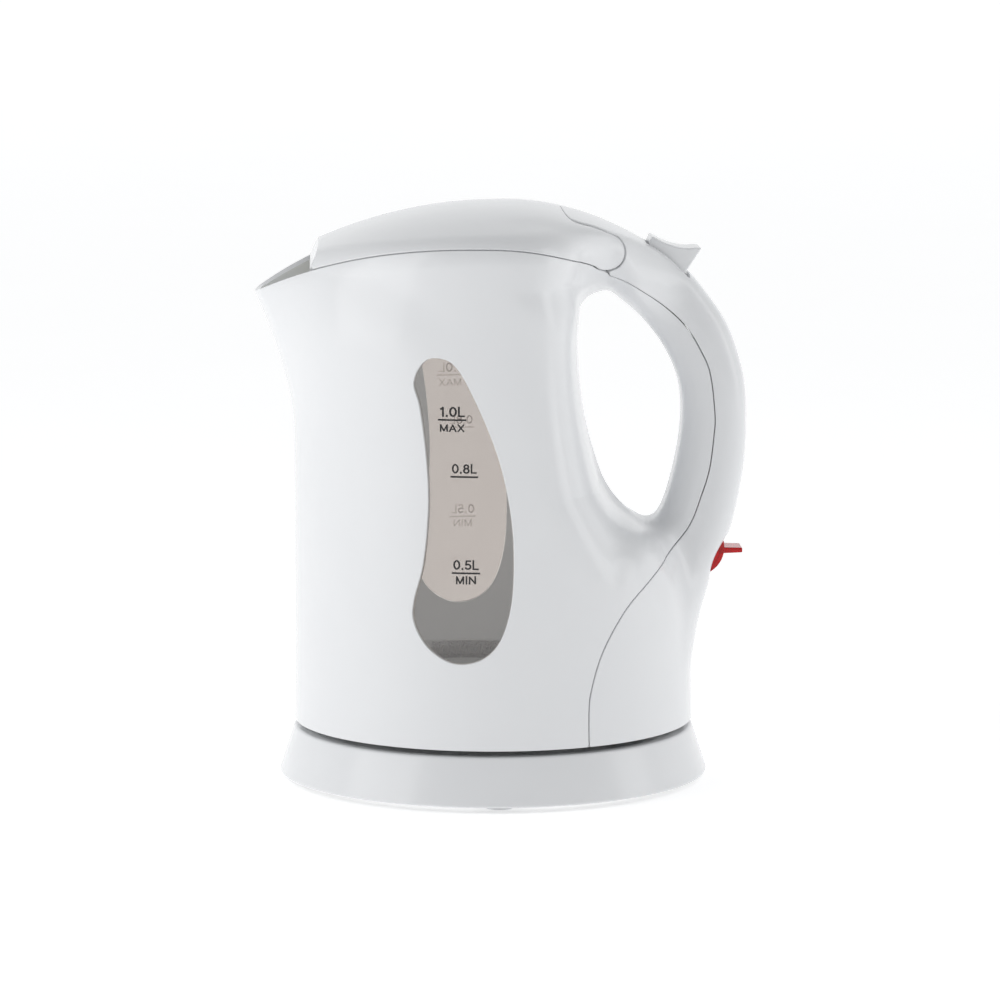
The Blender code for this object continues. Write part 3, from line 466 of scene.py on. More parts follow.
def mesh_object(name, points, faces, normals=None):
    """A piece from millimetre points; normals, if given, are one for each corner of each face."""
    mesh = bpy.data.meshes.new(name)
    mesh.from_pydata(to_frame(points).tolist(), [], [list(map(int, face)) for face in faces])
    mesh.shade_smooth()
    if normals is not None:
        mesh.normals_split_custom_set(normals.tolist())
    obj = bpy.data.objects.new(name, mesh)
    bpy.context.scene.collection.objects.link(obj)
    return obj


def shell(name, skin, region, edge=EDGE, wall=WALL, sunk=0.0, side=0):
    """A moulding: the skin inside a region, its inner face, and rounded walls between them."""
    centre = skin.points[skin.triangles].mean(axis=1)
    chosen = region(*centre.T) < 0
    if side:
        chosen &= centre[:, 1] * side > 0
    used, index = np.unique(skin.triangles[chosen], return_inverse=True)
    p = skin.points[used]
    tri = index.reshape(-1, 3)
    normal = unit(slope_of(envelope_field, p))
    outward = slope_of(region, p)
    outward = unit(outward - normal * (outward * normal).sum(axis=1)[:, None])
    lean = 1 - np.clip(-region(*p.T), 0.0, edge) / edge
    cosine = np.sqrt(np.clip(1 - lean * lean, 0.0, 1.0))
    drop = edge * (1 - cosine)
    outer = p - normal * (drop + sunk)[:, None]
    inner = p - normal * (wall - drop)[:, None]
    tilt = outward * lean[:, None]
    outer_normal = normal * cosine[:, None] + tilt
    inner_normal = -normal * cosine[:, None] + tilt

    edges = np.vstack([tri[:, [0, 1]], tri[:, [1, 2]], tri[:, [2, 0]]])
    both = np.sort(edges, axis=1)
    _, where, times = np.unique(both, axis=0, return_inverse=True, return_counts=True)
    rim = edges[times[where.ravel()] == 1]
    count = len(p)
    wall_faces = np.vstack([
        np.column_stack([rim[:, 1], rim[:, 0], rim[:, 0] + count]),
        np.column_stack([rim[:, 1], rim[:, 0] + count, rim[:, 1] + count]),
    ])
    faces = np.vstack([tri, tri[:, ::-1] + count, wall_faces])
    corner_normals = np.vstack([
        outer_normal[tri].reshape(-1, 3), inner_normal[tri[:, ::-1]].reshape(-1, 3),
        np.vstack([outward, outward])[wall_faces].reshape(-1, 3),
    ])
    obj = mesh_object(name, np.vstack([outer, inner]), faces, corner_normals)
    obj["inner_faces"] = [len(tri), 2 * len(tri)]
    return obj


def line_inside(obj, look):
    """Give a shell's inner faces a finish of their own."""
    obj.data.materials.append(look)
    first, last = obj["inner_faces"]
    index = np.zeros(len(obj.data.polygons), np.int32)
    index[first:last] = len(obj.data.materials) - 1
    obj.data.polygons.foreach_set("material_index", index)


def face_outwards(obj):
    mesh = bmesh.new()
    mesh.from_mesh(obj.data)
    bmesh.ops.recalc_face_normals(mesh, faces=mesh.faces)
    if mesh.calc_volume(signed=True) < 0:
        bmesh.ops.reverse_faces(mesh, faces=mesh.faces)
    mesh.to_mesh(obj.data)
    mesh.free()


def prism(name, outline, low, high, axis="Y"):
    """A flat outline pulled straight along an axis: (x, z) along Y, (x, y) along Z, (y, z) along X."""
    flat = np.asarray(outline, float)
    count = len(flat)
    place = {"X": lambda a, b, c: (c, a, b), "Y": lambda a, b, c: (a, c, b), "Z": lambda a, b, c: (a, b, c)}
    points = [place[axis](a, b, level) for level in (low, high) for a, b in flat]
    sides = [(i, (i + 1) % count, count + (i + 1) % count, count + i) for i in range(count)]
    caps = [tuple(range(count - 1, -1, -1)), tuple(range(count, 2 * count))]
    obj = mesh_object(name, points, sides + caps)
    face_outwards(obj)
    return obj


def apply_modifiers(obj):
    depsgraph = bpy.context.evaluated_depsgraph_get()
    mesh = bpy.data.meshes.new_from_object(obj.evaluated_get(depsgraph))
    obj.modifiers.clear()
    obj.data = mesh


def soften(obj, width, segments=3, angle=30.0):
    """Round the edges of a piece and shade it smoothly."""
    bevel = obj.modifiers.new("round", "BEVEL")
    bevel.width = width * MM
    bevel.segments = segments
    bevel.limit_method = "ANGLE"
    bevel.angle_limit = math.radians(angle)
    bevel.harden_normals = True
    apply_modifiers(obj)
    return obj


def cut_away(obj, cutter):
    """Cut one solid piece out of another."""
    cut = obj.modifiers.new("cut", "BOOLEAN")
    cut.operation = "DIFFERENCE"
    cut.solver = "EXACT"
    cut.object = cutter
    apply_modifiers(obj)
    bpy.data.objects.remove(cutter)
    obj.data.set_sharp_from_angle(angle=math.radians(50))


def welded_copy(name, solid):
    """A solid's own shape as a new piece, its corners joined so that smooth shading crosses them."""
    mesh = bpy.data.meshes.new(name)
    points = [tuple(solid.matrix_world @ vertex.co) for vertex in solid.data.vertices]
    mesh.from_pydata(points, [], [tuple(face.vertices) for face in solid.data.polygons])
    joined = bmesh.new()
    joined.from_mesh(mesh)
    bmesh.ops.remove_doubles(joined, verts=joined.verts, dist=0.001 * MM)
    joined.to_mesh(mesh)
    joined.free()
    mesh.shade_smooth()
    obj = bpy.data.objects.new(name, mesh)
    bpy.context.scene.collection.objects.link(obj)
    return obj


def turned(name, profile, centre=(0.0, 0.0), sides=180):
    """A closed (radius, height) profile, both ends on the axis, spun round an upright line."""
    angles = np.linspace(0, math.tau, sides, endpoint=False)
    rings = np.array(profile[1:-1], float)
    points = [(centre[0] + r * math.cos(a), centre[1] + r * math.sin(a), z) for r, z in rings for a in angles]
    points += [(*centre, profile[0][1]), (*centre, profile[-1][1])]
    faces = []
    for i in range(len(rings) - 1):
        for j in range(sides):
            k = (j + 1) % sides
            faces.append((i * sides + j, i * sides + k, (i + 1) * sides + k, (i + 1) * sides + j))
    top, bottom, last = len(points) - 2, len(points) - 1, (len(rings) - 1) * sides
    for j in range(sides):
        k = (j + 1) % sides
        faces.append((top, k, j))
        faces.append((bottom, last + j, last + k))
    obj = mesh_object(name, points, faces)
    face_outwards(obj)
    obj.data.set_sharp_from_angle(angle=math.radians(50))
    return obj


def rounded_profile(corners, steps=6):
    """A run of (radius, height, rounding) corners with each corner turned into a small arc."""
    points = [corners[0][:2]]
    for (x0, z0, _), (x1, z1, r), (x2, z2, _) in zip(corners, corners[1:], corners[2:]):
        if r == 0:
            points.append((x1, z1))
            continue
        before, after = Vector((x0 - x1, z0 - z1)), Vector((x2 - x1, z2 - z1))
        a, b = before.normalized(), after.normalized()
        reach = min(r / math.tan(a.angle(b) / 2), before.length * 0.49, after.length * 0.49)
        start, end = Vector((x1, z1)) + a * reach, Vector((x1, z1)) + b * reach
        for t in np.linspace(0, 1, steps + 1):
            p = start * (1 - t) ** 2 + Vector((x1, z1)) * 2 * t * (1 - t) + end * t * t
            points.append((p.x, p.y))
    points.append(corners[-1][:2])
    return points


# ---------------------------------------------------------------------------------- materials
def new_material(name):
    made = bpy.data.materials.new(name)
    made.use_nodes = True
    return made, made.node_tree, made.node_tree.nodes["Principled BSDF"]


def node(tree, kind, inputs=None, **settings):
    made = tree.nodes.new(kind)
    for key, value in settings.items():
        setattr(made, key, value)
    for key, value in (inputs or {}).items():
        if isinstance(value, bpy.types.NodeSocket):
            tree.links.new(value, made.inputs[key])
        else:
            made.inputs[key].default_value = value
    return made


def noise(tree, scale, detail=3.0, stretch=(1.0, 1.0, 1.0)):
    """Noise over the object's own coordinates; the scale is in waves to the metre."""
    place = node(tree, "ShaderNodeTexCoord").outputs["Object"]
    mapping = node(tree, "ShaderNodeMapping", {"Vector": place, "Scale": stretch})
    return node(tree, "ShaderNodeTexNoise", {"Vector": mapping.outputs["Vector"], "Scale": scale,
                                             "Detail": detail}).outputs["Fac"]


def between(tree, factor, low, high):
    mapped = node(tree, "ShaderNodeMapRange", {"Value": factor, "To Min": low, "To Max": high})
    return mapped.outputs["Result"]


def two_tone(tree, factor, dark, light):
    ramp = node(tree, "ShaderNodeMix", {"Factor": factor}, data_type="RGBA")
    ramp.inputs[6].default_value = (*dark, 1.0)
    ramp.inputs[7].default_value = (*light, 1.0)
    return ramp.outputs[2]


def bump(tree, height, depth, strength=1.0):
    return node(tree, "ShaderNodeBump", {"Height": height, "Distance": depth * MM,
                                         "Strength": strength}).outputs["Normal"]


def plastic(name, dark, light, roughness, grain, depth):
    """Moulded plastic: a faint flow of tone, uneven gloss and the fine waviness of the mould."""
    made, tree, shader = new_material(name)
    tree.links.new(two_tone(tree, noise(tree, 35.0), dark, light), shader.inputs["Base Color"])
    tree.links.new(between(tree, noise(tree, 90.0, 5.0), *roughness), shader.inputs["Roughness"])
    tree.links.new(bump(tree, noise(tree, grain, 2.0), depth), shader.inputs["Normal"])
    shader.inputs["IOR"].default_value = 1.49
    return made


def white_plastic():
    return plastic("white_plastic", (0.80, 0.81, 0.825), (0.83, 0.838, 0.85), (0.15, 0.21), 420.0, 0.004)


def inside_plastic(name="inside_plastic"):
    return plastic(name, (0.78, 0.785, 0.79), (0.81, 0.815, 0.82), (0.32, 0.42), 700.0, 0.012)


def painted_glow_plastic():
    """The jug's inner face, with a painted glow: a faint emission stands in for daylight shining through the
    thin white wall.
    """
    made = inside_plastic("painted_glow_plastic")
    shader = made.node_tree.nodes["Principled BSDF"]
    # painted glow: this emission stands in for daylight coming through the wall, it is no lamp
    shader.inputs["Emission Color"].default_value = (0.93, 0.98, 1.0, 1.0)
    shader.inputs["Emission Strength"].default_value = 0.115
    return made


def dark_plastic():
    return plastic("dark_plastic", (0.030, 0.030, 0.034), (0.045, 0.045, 0.048), (0.35, 0.5), 1500.0, 0.02)


def natural_nylon():
    return plastic("natural_nylon", (0.70, 0.67, 0.58), (0.77, 0.74, 0.66), (0.38, 0.5), 900.0, 0.02)


def grey_rubber():
    return plastic("grey_rubber", (0.62, 0.63, 0.64), (0.68, 0.69, 0.70), (0.7, 0.9), 2500.0, 0.04)


def mark_ink():
    """Black print, which shows only faintly when it is looked at from behind through its pane."""
    made = plastic("mark_ink", (0.006, 0.006, 0.007), (0.012, 0.012, 0.013), (0.4, 0.6), 2500.0, 0.01)
    tree = made.node_tree
    behind = node(tree, "ShaderNodeNewGeometry").outputs["Backfacing"]
    clear = node(tree, "ShaderNodeBsdfTransparent", {"Color": (0.97, 0.95, 0.94, 1.0)})
    share = between(tree, behind, 0.0, 0.8)
    mix = node(tree, "ShaderNodeMixShader", {0: share})
    tree.links.new(tree.nodes["Principled BSDF"].outputs[0], mix.inputs[1])
    tree.links.new(clear.outputs[0], mix.inputs[2])
    tree.links.new(mix.outputs[0], tree.nodes["Material Output"].inputs["Surface"])
    return made


def smoke_window():
    """Smoky clear plastic: most light passes straight through, some is caught by its milkiness."""
    made, tree, shader = new_material("smoke_window")
    tone = two_tone(tree, noise(tree, 40.0), (0.46, 0.44, 0.43), (0.50, 0.48, 0.47))
    tree.links.new(tone, shader.inputs["Base Color"])
    tree.links.new(between(tree, noise(tree, 120.0), 0.10, 0.16), shader.inputs["Roughness"])
    shader.inputs["IOR"].default_value = 1.49
    tint = two_tone(tree, noise(tree, 55.0), (0.884, 0.862, 0.846), (0.904, 0.883, 0.868))
    clear = node(tree, "ShaderNodeBsdfTransparent", {"Color": tint})
    whole = node(tree, "ShaderNodeMixShader", {0: 0.90})
    tree.links.new(shader.outputs[0], whole.inputs[1])
    tree.links.new(clear.outputs[0], whole.inputs[2])
    tree.links.new(whole.outputs[0], tree.nodes["Material Output"].inputs["Surface"])
    return made


def red_plastic():
    """Clear red plastic, deep red where it is thick."""
    made, tree, shader = new_material("red_plastic")
    tree.links.new(two_tone(tree, noise(tree, 200.0), (0.62, 0.003, 0.005), (0.76, 0.008, 0.010)),
                   shader.inputs["Base Color"])
    tree.links.new(between(tree, noise(tree, 300.0), 0.04, 0.12), shader.inputs["Roughness"])
    shader.inputs["IOR"].default_value = 1.49
    shader.inputs["Specular IOR Level"].default_value = 0.25
    shader.inputs["Transmission Weight"].default_value = 0.5
    return made


def neon_glass():
    made, tree, shader = new_material("neon_glass")
    tree.links.new(two_tone(tree, noise(tree, 300.0), (0.85, 0.45, 0.35), (0.95, 0.60, 0.50)),
                   shader.inputs["Base Color"])
    shader.inputs["Roughness"].default_value = 0.08
    shader.inputs["Transmission Weight"].default_value = 0.8
    return made


def metal(name, dark, light, roughness, stretch):
    made, tree, shader = new_material(name)
    grain = noise(tree, 2600.0, 4.0, stretch)
    tree.links.new(two_tone(tree, grain, dark, light), shader.inputs["Base Color"])
    tree.links.new(between(tree, grain, *roughness), shader.inputs["Roughness"])
    tree.links.new(bump(tree, grain, 0.002), shader.inputs["Normal"])
    shader.inputs["Metallic"].default_value = 1.0
    return made


def stainless():
    return metal("stainless", (0.60, 0.60, 0.61), (0.72, 0.72, 0.73), (0.22, 0.34), (1.0, 1.0, 0.15))


def brass():
    return metal("brass", (0.70, 0.52, 0.25), (0.82, 0.64, 0.34), (0.25, 0.38), (0.3, 1.0, 1.0))


def paint(obj, look):
    obj.data.materials.clear()
    obj.data.materials.append(look)
    return obj


# ------------------------------------------------------------------------- the jug's mouldings
handle_side = Side(np.vstack([smooth_curve(HANDLE_BACK, closed=False), [(12.0, 25.0)]]))
hole_side = Side(smooth_curve(HAND_HOLE, closed=True))
window_side = Side(smooth_curve(WINDOW, closed=True))
jug_side = Side(jug_outline())
ahead_side = Side(ahead_outline())
lid_side = Side(lid_outline())


def scored_skin():
    skin = Skin(*envelope_skin())
    for region in (jug_region, cover_region, lid_region, pane_region):
        for depth, snap in ((0.0, 0.3), (EDGE, 0.1), (EDGE * 0.4, 0.05)):
            skin.score(region, -depth, snap)
    return skin


def jug_shell(skin):
    jug = shell("jug_shell", skin, jug_region)
    paint(jug, looks["white"])
    # the jug's inner face gets the painted glow
    line_inside(jug, looks["vessel"])
    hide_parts("jug_body")
    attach(jug, "jug")


def windows(skin):
    for name, side in (("window_left", 1), ("window_right", -1)):
        pane = shell(f"{name}_pane", skin, pane_region, edge=0.3, wall=1.8, sunk=PANE_SINK, side=side)
        paint(pane, looks["window"])
        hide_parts(name)
        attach(pane, "jug")


def handle_shell(skin):
    cover = shell("handle_shell", skin, cover_region)
    paint(cover, looks["white"])
    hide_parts("handle_cover")
    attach(cover, "jug")


def lid_shell(skin):
    lid = shell("lid_shell", skin, lid_region)
    paint(lid, looks["white"])
    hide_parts("lid_cover")
    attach(lid, "lid")


# ------------------------------------------------------------------ walls inside the mouldings
def cross_wall(name, place_x, depth, low, high, level, rows=40):
    """A wall from side to side of the envelope, reaching to its level line, depth deep in x."""
    heights = np.linspace(low, high, rows)
    near, far = np.zeros(rows), np.full(rows, 80.0)
    for _ in range(24):
        middle = (near + far) / 2
        faces = (place_x(heights), place_x(heights) + depth(heights))
        within = np.maximum(*(envelope_field(x, middle, heights) for x in faces)) < level
        near, far = np.where(within, middle, near), np.where(within, far, middle)
    kept = near > 0.5
    outline = np.vstack([
        np.column_stack([near, heights])[kept], np.column_stack([-near, heights])[kept][::-1],
    ])
    wall = prism(name, outline, 0.0, 1.0, axis="X")
    for vertex in wall.data.vertices:
        height = vertex.co.z / MM
        vertex.co.x = (place_x(height) + AXIS[0] + (vertex.co.x / MM - AXIS[0]) * depth(height)) * MM
    wall.data.shade_flat()
    return wall


def vessel_walls():
    """The floor under the water and the wall behind it, which follows the hand hole."""
    chord = math.degrees(math.acos(PARTITION_X / (JUG_RADIUS - WALL)))
    plan = arc((0.0, 0.0), JUG_RADIUS - WALL + 0.4, chord, 360 - chord, 90)
    floor_plate = prism("vessel_floor", plan, FLOOR_TOP - WALL, FLOOR_TOP, axis="Z")
    rear = cross_wall("rear_wall", lambda z: PARTITION_X + 0.0 * z,
                      lambda z: WALL * (1 - smooth_step(104.0, 122.0, z)) + 0.3,
                      FLOOR_TOP - WALL, 115.0, 0.6 - WALL)
    upper = cross_wall("upper_wall", lambda z: PARTITION_X - 2.0 + 0.0 * z, lambda z: 3.5 + 0.0 * z,
                       162.0, rim_height(PARTITION_X) - 0.6, 0.6 - WALL)
    # the rear and upper walls get the same painted glow as the jug's inner face
    for wall, look in ((floor_plate, "inside"), (rear, "vessel"), (upper, "vessel")):
        paint(wall, looks[look])
        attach(wall, "jug")


def lid_front():
    """The lid's front face, which closes the spout's mouth above the rim."""
    curtain = cross_wall("lid_front", lid_front_x, lambda z: WALL + 0.0 * z,
                         rim_height(LID_FRONT_X) + SEAM / 2, CREST_Z, -EDGE)
    paint(curtain, looks["white"])
    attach(curtain, "lid")


def lid_plate():
    """The plate that closes the lid from below, ending in front of the cover's tongue."""
    plate = welded_copy("lid_plate", frame["nodes"]["lid_inner_plate"])
    rear = TONGUE_EDGE[-1][0] - PLATE_SHORT
    beyond, low, high, half_width = 60.0, 150.0, 210.0, 60.0
    outline = [(rear, low), (beyond, low), (beyond, high), (rear, high)]
    cut_away(plate, prism("under_tongue", outline, -half_width, half_width))
    paint(plate, looks["inside"])
    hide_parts("lid_inner_plate")
    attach(plate, "lid")


def hinge_parts():
    """The cover's web under the tongue, and the lid's round knuckles on both sides of it."""
    x, z = HINGE
    web = np.vstack([arc(HINGE, 4.0, 180, 360, 16), [(x + 4.0, z + 4.6), (x - 4.0, z + 6.2)]])
    bracket = prism("hinge_bracket", web, -BRACKET_HALF_WIDTH, BRACKET_HALF_WIDTH)
    soften(bracket, 0.3)
    paint(bracket, looks["inside"])
    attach(bracket, "jug")
    knuckle = arc(HINGE, 4.4, 0, 360, 40)[:-1]
    for name, side in (("left", 1), ("right", -1)):
        low, high = sorted((side * (BRACKET_HALF_WIDTH + 1.7), side * (BRACKET_HALF_WIDTH + 11.0)))
        piece = prism(f"lid_knuckle_{name}", knuckle, low, high)
        soften(piece, 0.3)
        paint(piece, looks["inside"])
        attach(piece, "lid")


# ----------------------------------------------------------------------------------- stand-alone
def base_shell():
    """Sloping ring wall with a dished top, turned in one piece."""
    slope = (BASE_RADIUS - BASE_TOP_RADIUS) / (BASE_TOP - BASE_BOTTOM)
    low = BASE_DISH - WALL
    corners = [
        (0.0, BASE_DISH, 0), (61.2, BASE_DISH, 0.8), (62.3, BASE_TOP, 0.5), (BASE_TOP_RADIUS, BASE_TOP, 1.3),
        (BASE_RADIUS - 0.2 * slope, BASE_BOTTOM, 1.0), (BASE_RADIUS - WALL, BASE_BOTTOM, 0.4),
        (BASE_TOP_RADIUS - WALL + 1.0, low, 1.0), (0.0, low, 0),
    ]
    base = turned("base_shell", rounded_profile(corners))
    ring = arc((0.0, CORD_Z), CORD_HOLE_RADIUS, 0, 360, 40)[:-1]
    cut_away(base, prism("cord_hole", ring, 55.0, 85.0))
    paint(base, looks["white"])
    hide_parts("base_housing")
    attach(base, "base")


def thumb_tab():
    hollow = [(51.9, 180.0), (56.3, 177.75), (60.4, 176.4), (63.6, 175.95), (66.4, 176.15)]
    top = smooth_curve(hollow, False, 4)
    rear = [(68.3, 176.0), (63.2, 168.3)]
    under = [(60.5, 166.6), (56.5, 165.8), (53.5, 165.6), (50.8, 167.4), (50.8, 177.4)]
    tab = prism("thumb_tab", np.vstack([top, rear, under]), -THUMB_HALF_WIDTH, THUMB_HALF_WIDTH)
    soften(tab, 0.55, angle=24.0)
    paint(tab, looks["white"])
    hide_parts("thumb_lever")
    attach(tab, "thumb_lever")


def rocker():
    """Round-backed rocker with a flat tab that is pressed down to switch on."""
    x, z = ROCKER_PIVOT
    back = arc(ROCKER_PIVOT, ROCKER_RADIUS, -64, 18, 24)
    heart = [(x - 1.0, z + 4.0), (x - 4.5, z + 1.0), (x - 4.5, z - 3.0)]
    body = prism("rocker", np.vstack([back, heart]), -ROCKER_HALF_WIDTH, ROCKER_HALF_WIDTH)
    soften(body, 0.4)
    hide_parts("rocker_switch")
    tab_side = [(x + 7.5, z - 2.3), (x + 15.5, z - 2.0), (x + 15.5, z - 0.4), (x + 7.5, z - 0.2)]
    tab = prism("rocker_tab", tab_side, 2.0 - ROCKER_HALF_WIDTH, ROCKER_HALF_WIDTH - 2.0)
    soften(tab, 0.35)
    for piece in (body, tab):
        paint(piece, looks["red"])
        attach(piece, "rocker_switch")


# -------------------------------------------------------------------------------- volume marks
def laid_on_pane(points, side):
    """Flat (x, z) points laid just over the face of a pane."""
    x, z = points.T
    p = settle(np.column_stack([x, side * np.sqrt(JUG_RADIUS ** 2 - x * x), z]))
    return p - unit(slope_of(envelope_field, p)) * (PANE_SINK - MARK_RELIEF)


def glyph_strokes(letter):
    """Centre lines of a letter, in a box one high, with the box's width."""
    round_width = 0.62
    zero = arc((0.0, 0.0), 1.0, 0, 360, 28) * (round_width / 2 - 0.06, 0.44) + (round_width / 2, 0.5)
    shapes = {
        "0": (round_width, [zero]),
        "1": (0.36, [[(0.06, 0.76), (0.26, 0.94), (0.26, 0.0)]]),
        "5": (0.62, [np.vstack([[(0.56, 0.94), (0.16, 0.94), (0.10, 0.52)],
                                arc((0.30, 0.32), 0.25, 130, -150, 16)])]),
        "8": (0.62, [arc((0.31, 0.73), 0.20, 0, 360, 20), arc((0.31, 0.28), 0.24, 0, 360, 20)]),
        ".": (0.22, [[(0.11, 0.0), (0.11, 0.12)]]),
        "L": (0.56, [[(0.08, 1.0), (0.08, 0.06), (0.54, 0.06)]]),
        "M": (0.84, [[(0.08, 0.0), (0.08, 0.94), (0.42, 0.06), (0.76, 0.94), (0.76, 0.0)]]),
        "A": (0.76, [[(0.05, 0.0), (0.38, 0.94), (0.71, 0.0)], [(0.16, 0.32), (0.60, 0.32)]]),
        "X": (0.72, [[(0.06, 0.0), (0.66, 1.0)], [(0.66, 0.0), (0.06, 1.0)]]),
        "I": (0.24, [[(0.12, 0.0), (0.12, 1.0)]]),
        "N": (0.74, [[(0.08, 0.0), (0.08, 0.94), (0.66, 0.06), (0.66, 1.0)]]),
    }
    return shapes[letter]


def ribbon(line, thickness):
    """A flat band along a line: one small rectangle for each of its steps, lapping at the bends."""
    p = np.asarray(line, float)
    along = unit(np.diff(p, axis=0)) * thickness / 2
    across = np.column_stack([-along[:, 1], along[:, 0]])
    start, end = p[:-1] - along * 0.7, p[1:] + along * 0.7
    corners = np.stack([start - across, end - across, end + across, start + across], axis=1)
    return corners.reshape(-1, 2), [tuple(range(4 * i, 4 * i + 4)) for i in range(len(along))]


def lettering(side, text, x, z, width, height, thickness=0.17):
    """Bold flat lettering as points and faces, fitted to a width and a height over its foot line."""
    points, faces, count, pen = [], [], 0, 0.0
    for letter in text:
        letter_width, strokes = glyph_strokes(letter)
        for stroke in strokes:
            some_points, some_faces = ribbon(stroke, thickness)
            points.append(some_points + (pen, 0.0))
            faces += [tuple(count + i for i in face) for face in some_faces]
            count += len(some_points)
        pen += letter_width + LETTER_SPACE
    flat = np.vstack(points)
    share = (flat - flat.min(axis=0)) / np.ptp(flat, axis=0)
    if side > 0:
        share[:, 0] = 1 - share[:, 0]
    return share * (width, height) + (x - width / 2, z), faces


def fill_line(x, z, width, thickness=0.56, steps=8):
    """A level line as points and faces."""
    along = np.linspace(x - width / 2, x + width / 2, steps + 1)
    points = np.vstack([np.column_stack([along, np.full(steps + 1, z + up)]) for up in (0.0, thickness)])
    faces = [(i, i + 1, steps + 2 + i, steps + 1 + i) for i in range(steps)]
    return points, faces


def turn_to_side(obj, side):
    """Turn every face of a thin film to look out of its pane."""
    mesh = bmesh.new()
    mesh.from_mesh(obj.data)
    mesh.normal_update()
    bmesh.ops.reverse_faces(mesh, faces=[face for face in mesh.faces if face.normal.y * side < 0])
    mesh.to_mesh(obj.data)
    mesh.free()


def volume_marks(side):
    """Fill lines with their volumes, printed on a pane as a thin film to be read from outside."""
    marks = [lettering(side, *word) for word in MARK_WORDS] + [fill_line(*line) for line in MARK_LINES]
    shift = LEFT_WINDOW_SHIFT if side > 0 else 0.0
    points, faces, count = [], [], 0
    for some_points, some_faces in marks:
        points.append(some_points + (shift, 0.0))
        faces += [tuple(count + i for i in face) for face in some_faces]
        count += len(some_points)
    name = "volume_marks_left" if side > 0 else "volume_marks_right"
    made = mesh_object(name, laid_on_pane(np.vstack(points), side), faces)
    turn_to_side(made, side)
    made.data.shade_flat()
    paint(made, looks["ink"])
    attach(made, "jug")


# ------------------------------------------------------------------------- carried-over solids
def dress_frame():
    """Give every solid that stays its own finish, by the record's slots."""
    finish = {
        "white_plastic": looks["inside"], "smoke_window": looks["window"], "red_plastic": looks["red"],
        "dark_plastic": looks["dark"], "natural_nylon": looks["nylon"], "grey_rubber": looks["rubber"],
        "stainless": looks["stainless"], "brass": looks["brass"], "neon_glass": looks["neon"],
    }
    for part in frame["record"]["subparts"]:
        solid = frame["nodes"][part["node"]]
        solid.data.materials.clear()
        solid.data.materials.append(finish[part["material_slot"]])


# ------------------------------------------------------------------------------------- studio
def floor():
    made, tree, shader = new_material("studio_floor")
    tree.links.new(two_tone(tree, noise(tree, 6.0), (0.93, 0.93, 0.93), (0.95, 0.95, 0.95)),
                   shader.inputs["Base Color"])
    shader.inputs["Roughness"].default_value = 0.9
    shader.inputs["Specular IOR Level"].default_value = 0.1
    shader.inputs["Emission Color"].default_value = (1.0, 1.0, 1.0, 1.0)
    shader.inputs["Emission Strength"].default_value = 0.42
    ground = prism("floor", arc((0.0, 0.0), 12000.0, 0, 360, 96)[:-1] - AXIS[:2], -20.0, 0.0, axis="Z")
    ground.data.materials.append(made)


def sky():
    """Even white light all round, dimmer from the camera's side and from overhead."""
    world = bpy.data.worlds.new("studio")
    bpy.context.scene.world = world
    world.use_nodes = True
    tree = world.node_tree
    lit = tree.nodes["Background"]
    place = node(tree, "ShaderNodeTexCoord").outputs["Generated"]
    parts = node(tree, "ShaderNodeSeparateXYZ", {0: place})
    front = node(tree, "ShaderNodeMapRange", {"Value": parts.outputs["Y"], "From Min": -1.0, "From Max": 0.2,
                                              "To Min": 0.30, "To Max": 1.0}).outputs["Result"]
    above = node(tree, "ShaderNodeMapRange", {"Value": parts.outputs["Z"], "From Min": 0.2, "From Max": 1.0,
                                              "To Min": 1.0, "To Max": 0.48}).outputs["Result"]
    share = node(tree, "ShaderNodeMath", {0: front, 1: above}, operation="MULTIPLY").outputs[0]
    tree.links.new(share, lit.inputs["Strength"])
    lit.inputs["Color"].default_value = (0.98, 0.99, 1.0, 1.0)
    plain = node(tree, "ShaderNodeBackground", {"Color": (1.0, 1.0, 1.0, 1.0), "Strength": 1.0})
    seen = node(tree, "ShaderNodeLightPath").outputs["Is Camera Ray"]
    mix = node(tree, "ShaderNodeMixShader", {0: seen})
    tree.links.new(lit.outputs[0], mix.inputs[1])
    tree.links.new(plain.outputs[0], mix.inputs[2])
    tree.links.new(mix.outputs[0], tree.nodes["World Output"].inputs["Surface"])


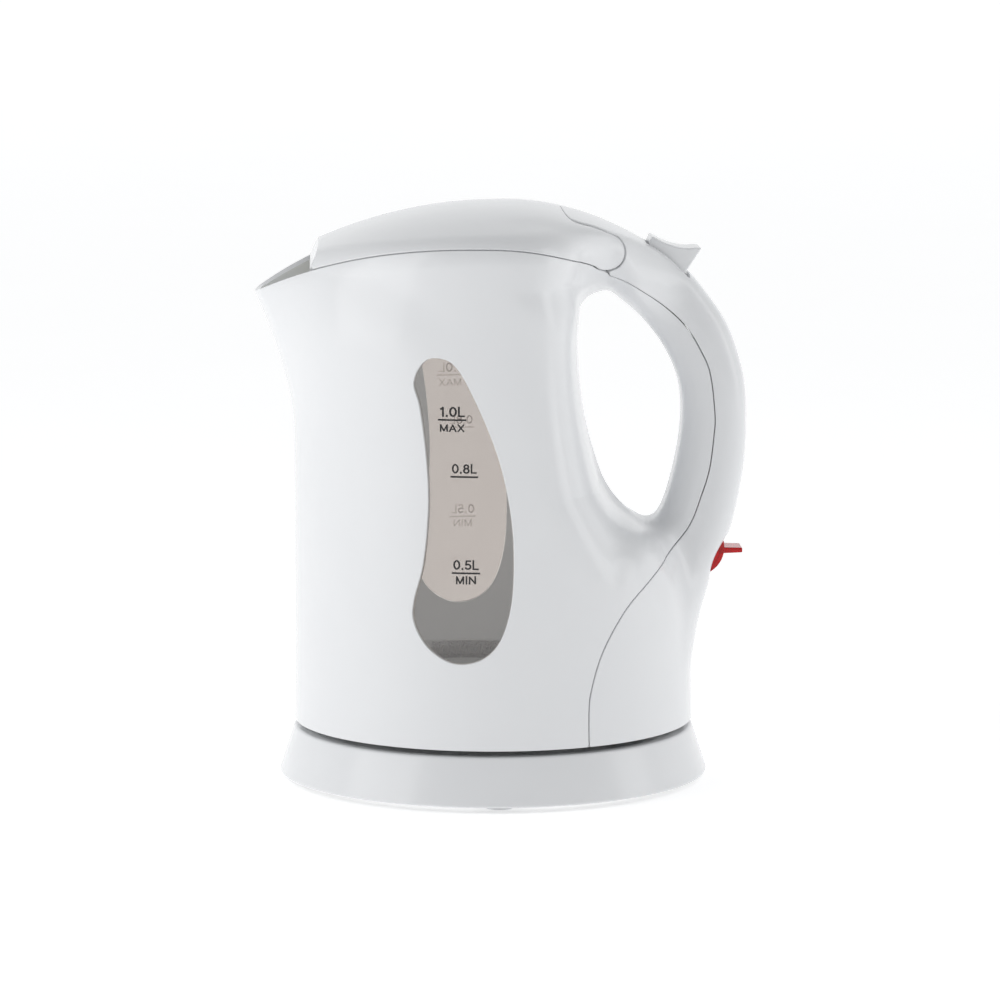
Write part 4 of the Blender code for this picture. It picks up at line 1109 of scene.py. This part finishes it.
def soft_light(name, place, aim, size, power):
    light = bpy.data.lights.new(name, "AREA")
    light.shape = "RECTANGLE"
    light.size, light.size_y = size
    light.energy = power
    lamp = bpy.data.objects.new(name, light)
    bpy.context.scene.collection.objects.link(lamp)
    lamp.location = place
    lamp.rotation_euler = (Vector(aim) - Vector(place)).to_track_quat("-Z", "Y").to_euler()


def lights():
    centre = (0.0, 0.0, 0.1)
    soft_light("left_softbox", (-1.1, -0.5, 0.45), centre, (0.9, 1.2), 4.7)
    soft_light("right_softbox", (1.2, -0.2, 0.6), centre, (0.5, 1.2), 2.4)


def camera():
    """A long lens a little above the kettle, turned 2 degrees towards the spout's side."""
    turn, pitch = math.radians(-2.0), math.radians(7.891)
    distance, height, sideways = 1642.0, 319.4, 2.3
    ahead = Vector((-math.sin(turn), math.cos(turn), 0.0))
    right = Vector((math.cos(turn), math.sin(turn), 0.0))
    place = right * sideways - ahead * distance + Vector((0.0, 0.0, height)) + Vector(AXIS)
    data = bpy.data.cameras.new("camera")
    data.lens, data.sensor_width = 180.0, 36.0
    data.clip_end = 50.0
    made = bpy.data.objects.new("camera", data)
    bpy.context.scene.collection.objects.link(made)
    made.location = place * MM
    gaze = ahead * math.cos(pitch) - Vector((0.0, 0.0, 1.0)) * math.sin(pitch)
    made.rotation_euler = gaze.to_track_quat("-Z", "Y").to_euler()
    bpy.context.scene.camera = made
    bpy.context.scene.view_settings.view_transform = "Standard"


# ------------------------------------------------------------------------------------ assembly
looks = {
    "white": white_plastic(), "inside": inside_plastic(), "vessel": painted_glow_plastic(),
    "window": smoke_window(), "red": red_plastic(),
    "dark": dark_plastic(), "nylon": natural_nylon(), "rubber": grey_rubber(), "stainless": stainless(),
    "brass": brass(), "neon": neon_glass(), "ink": mark_ink(),
}
camera()
dress_frame()
skin = scored_skin()
jug_shell(skin)
windows(skin)
handle_shell(skin)
lid_shell(skin)
vessel_walls()
lid_front()
lid_plate()
hinge_parts()
base_shell()
thumb_tab()
rocker()
for side in (1, -1):
    volume_marks(side)
floor()
sky()
lights()
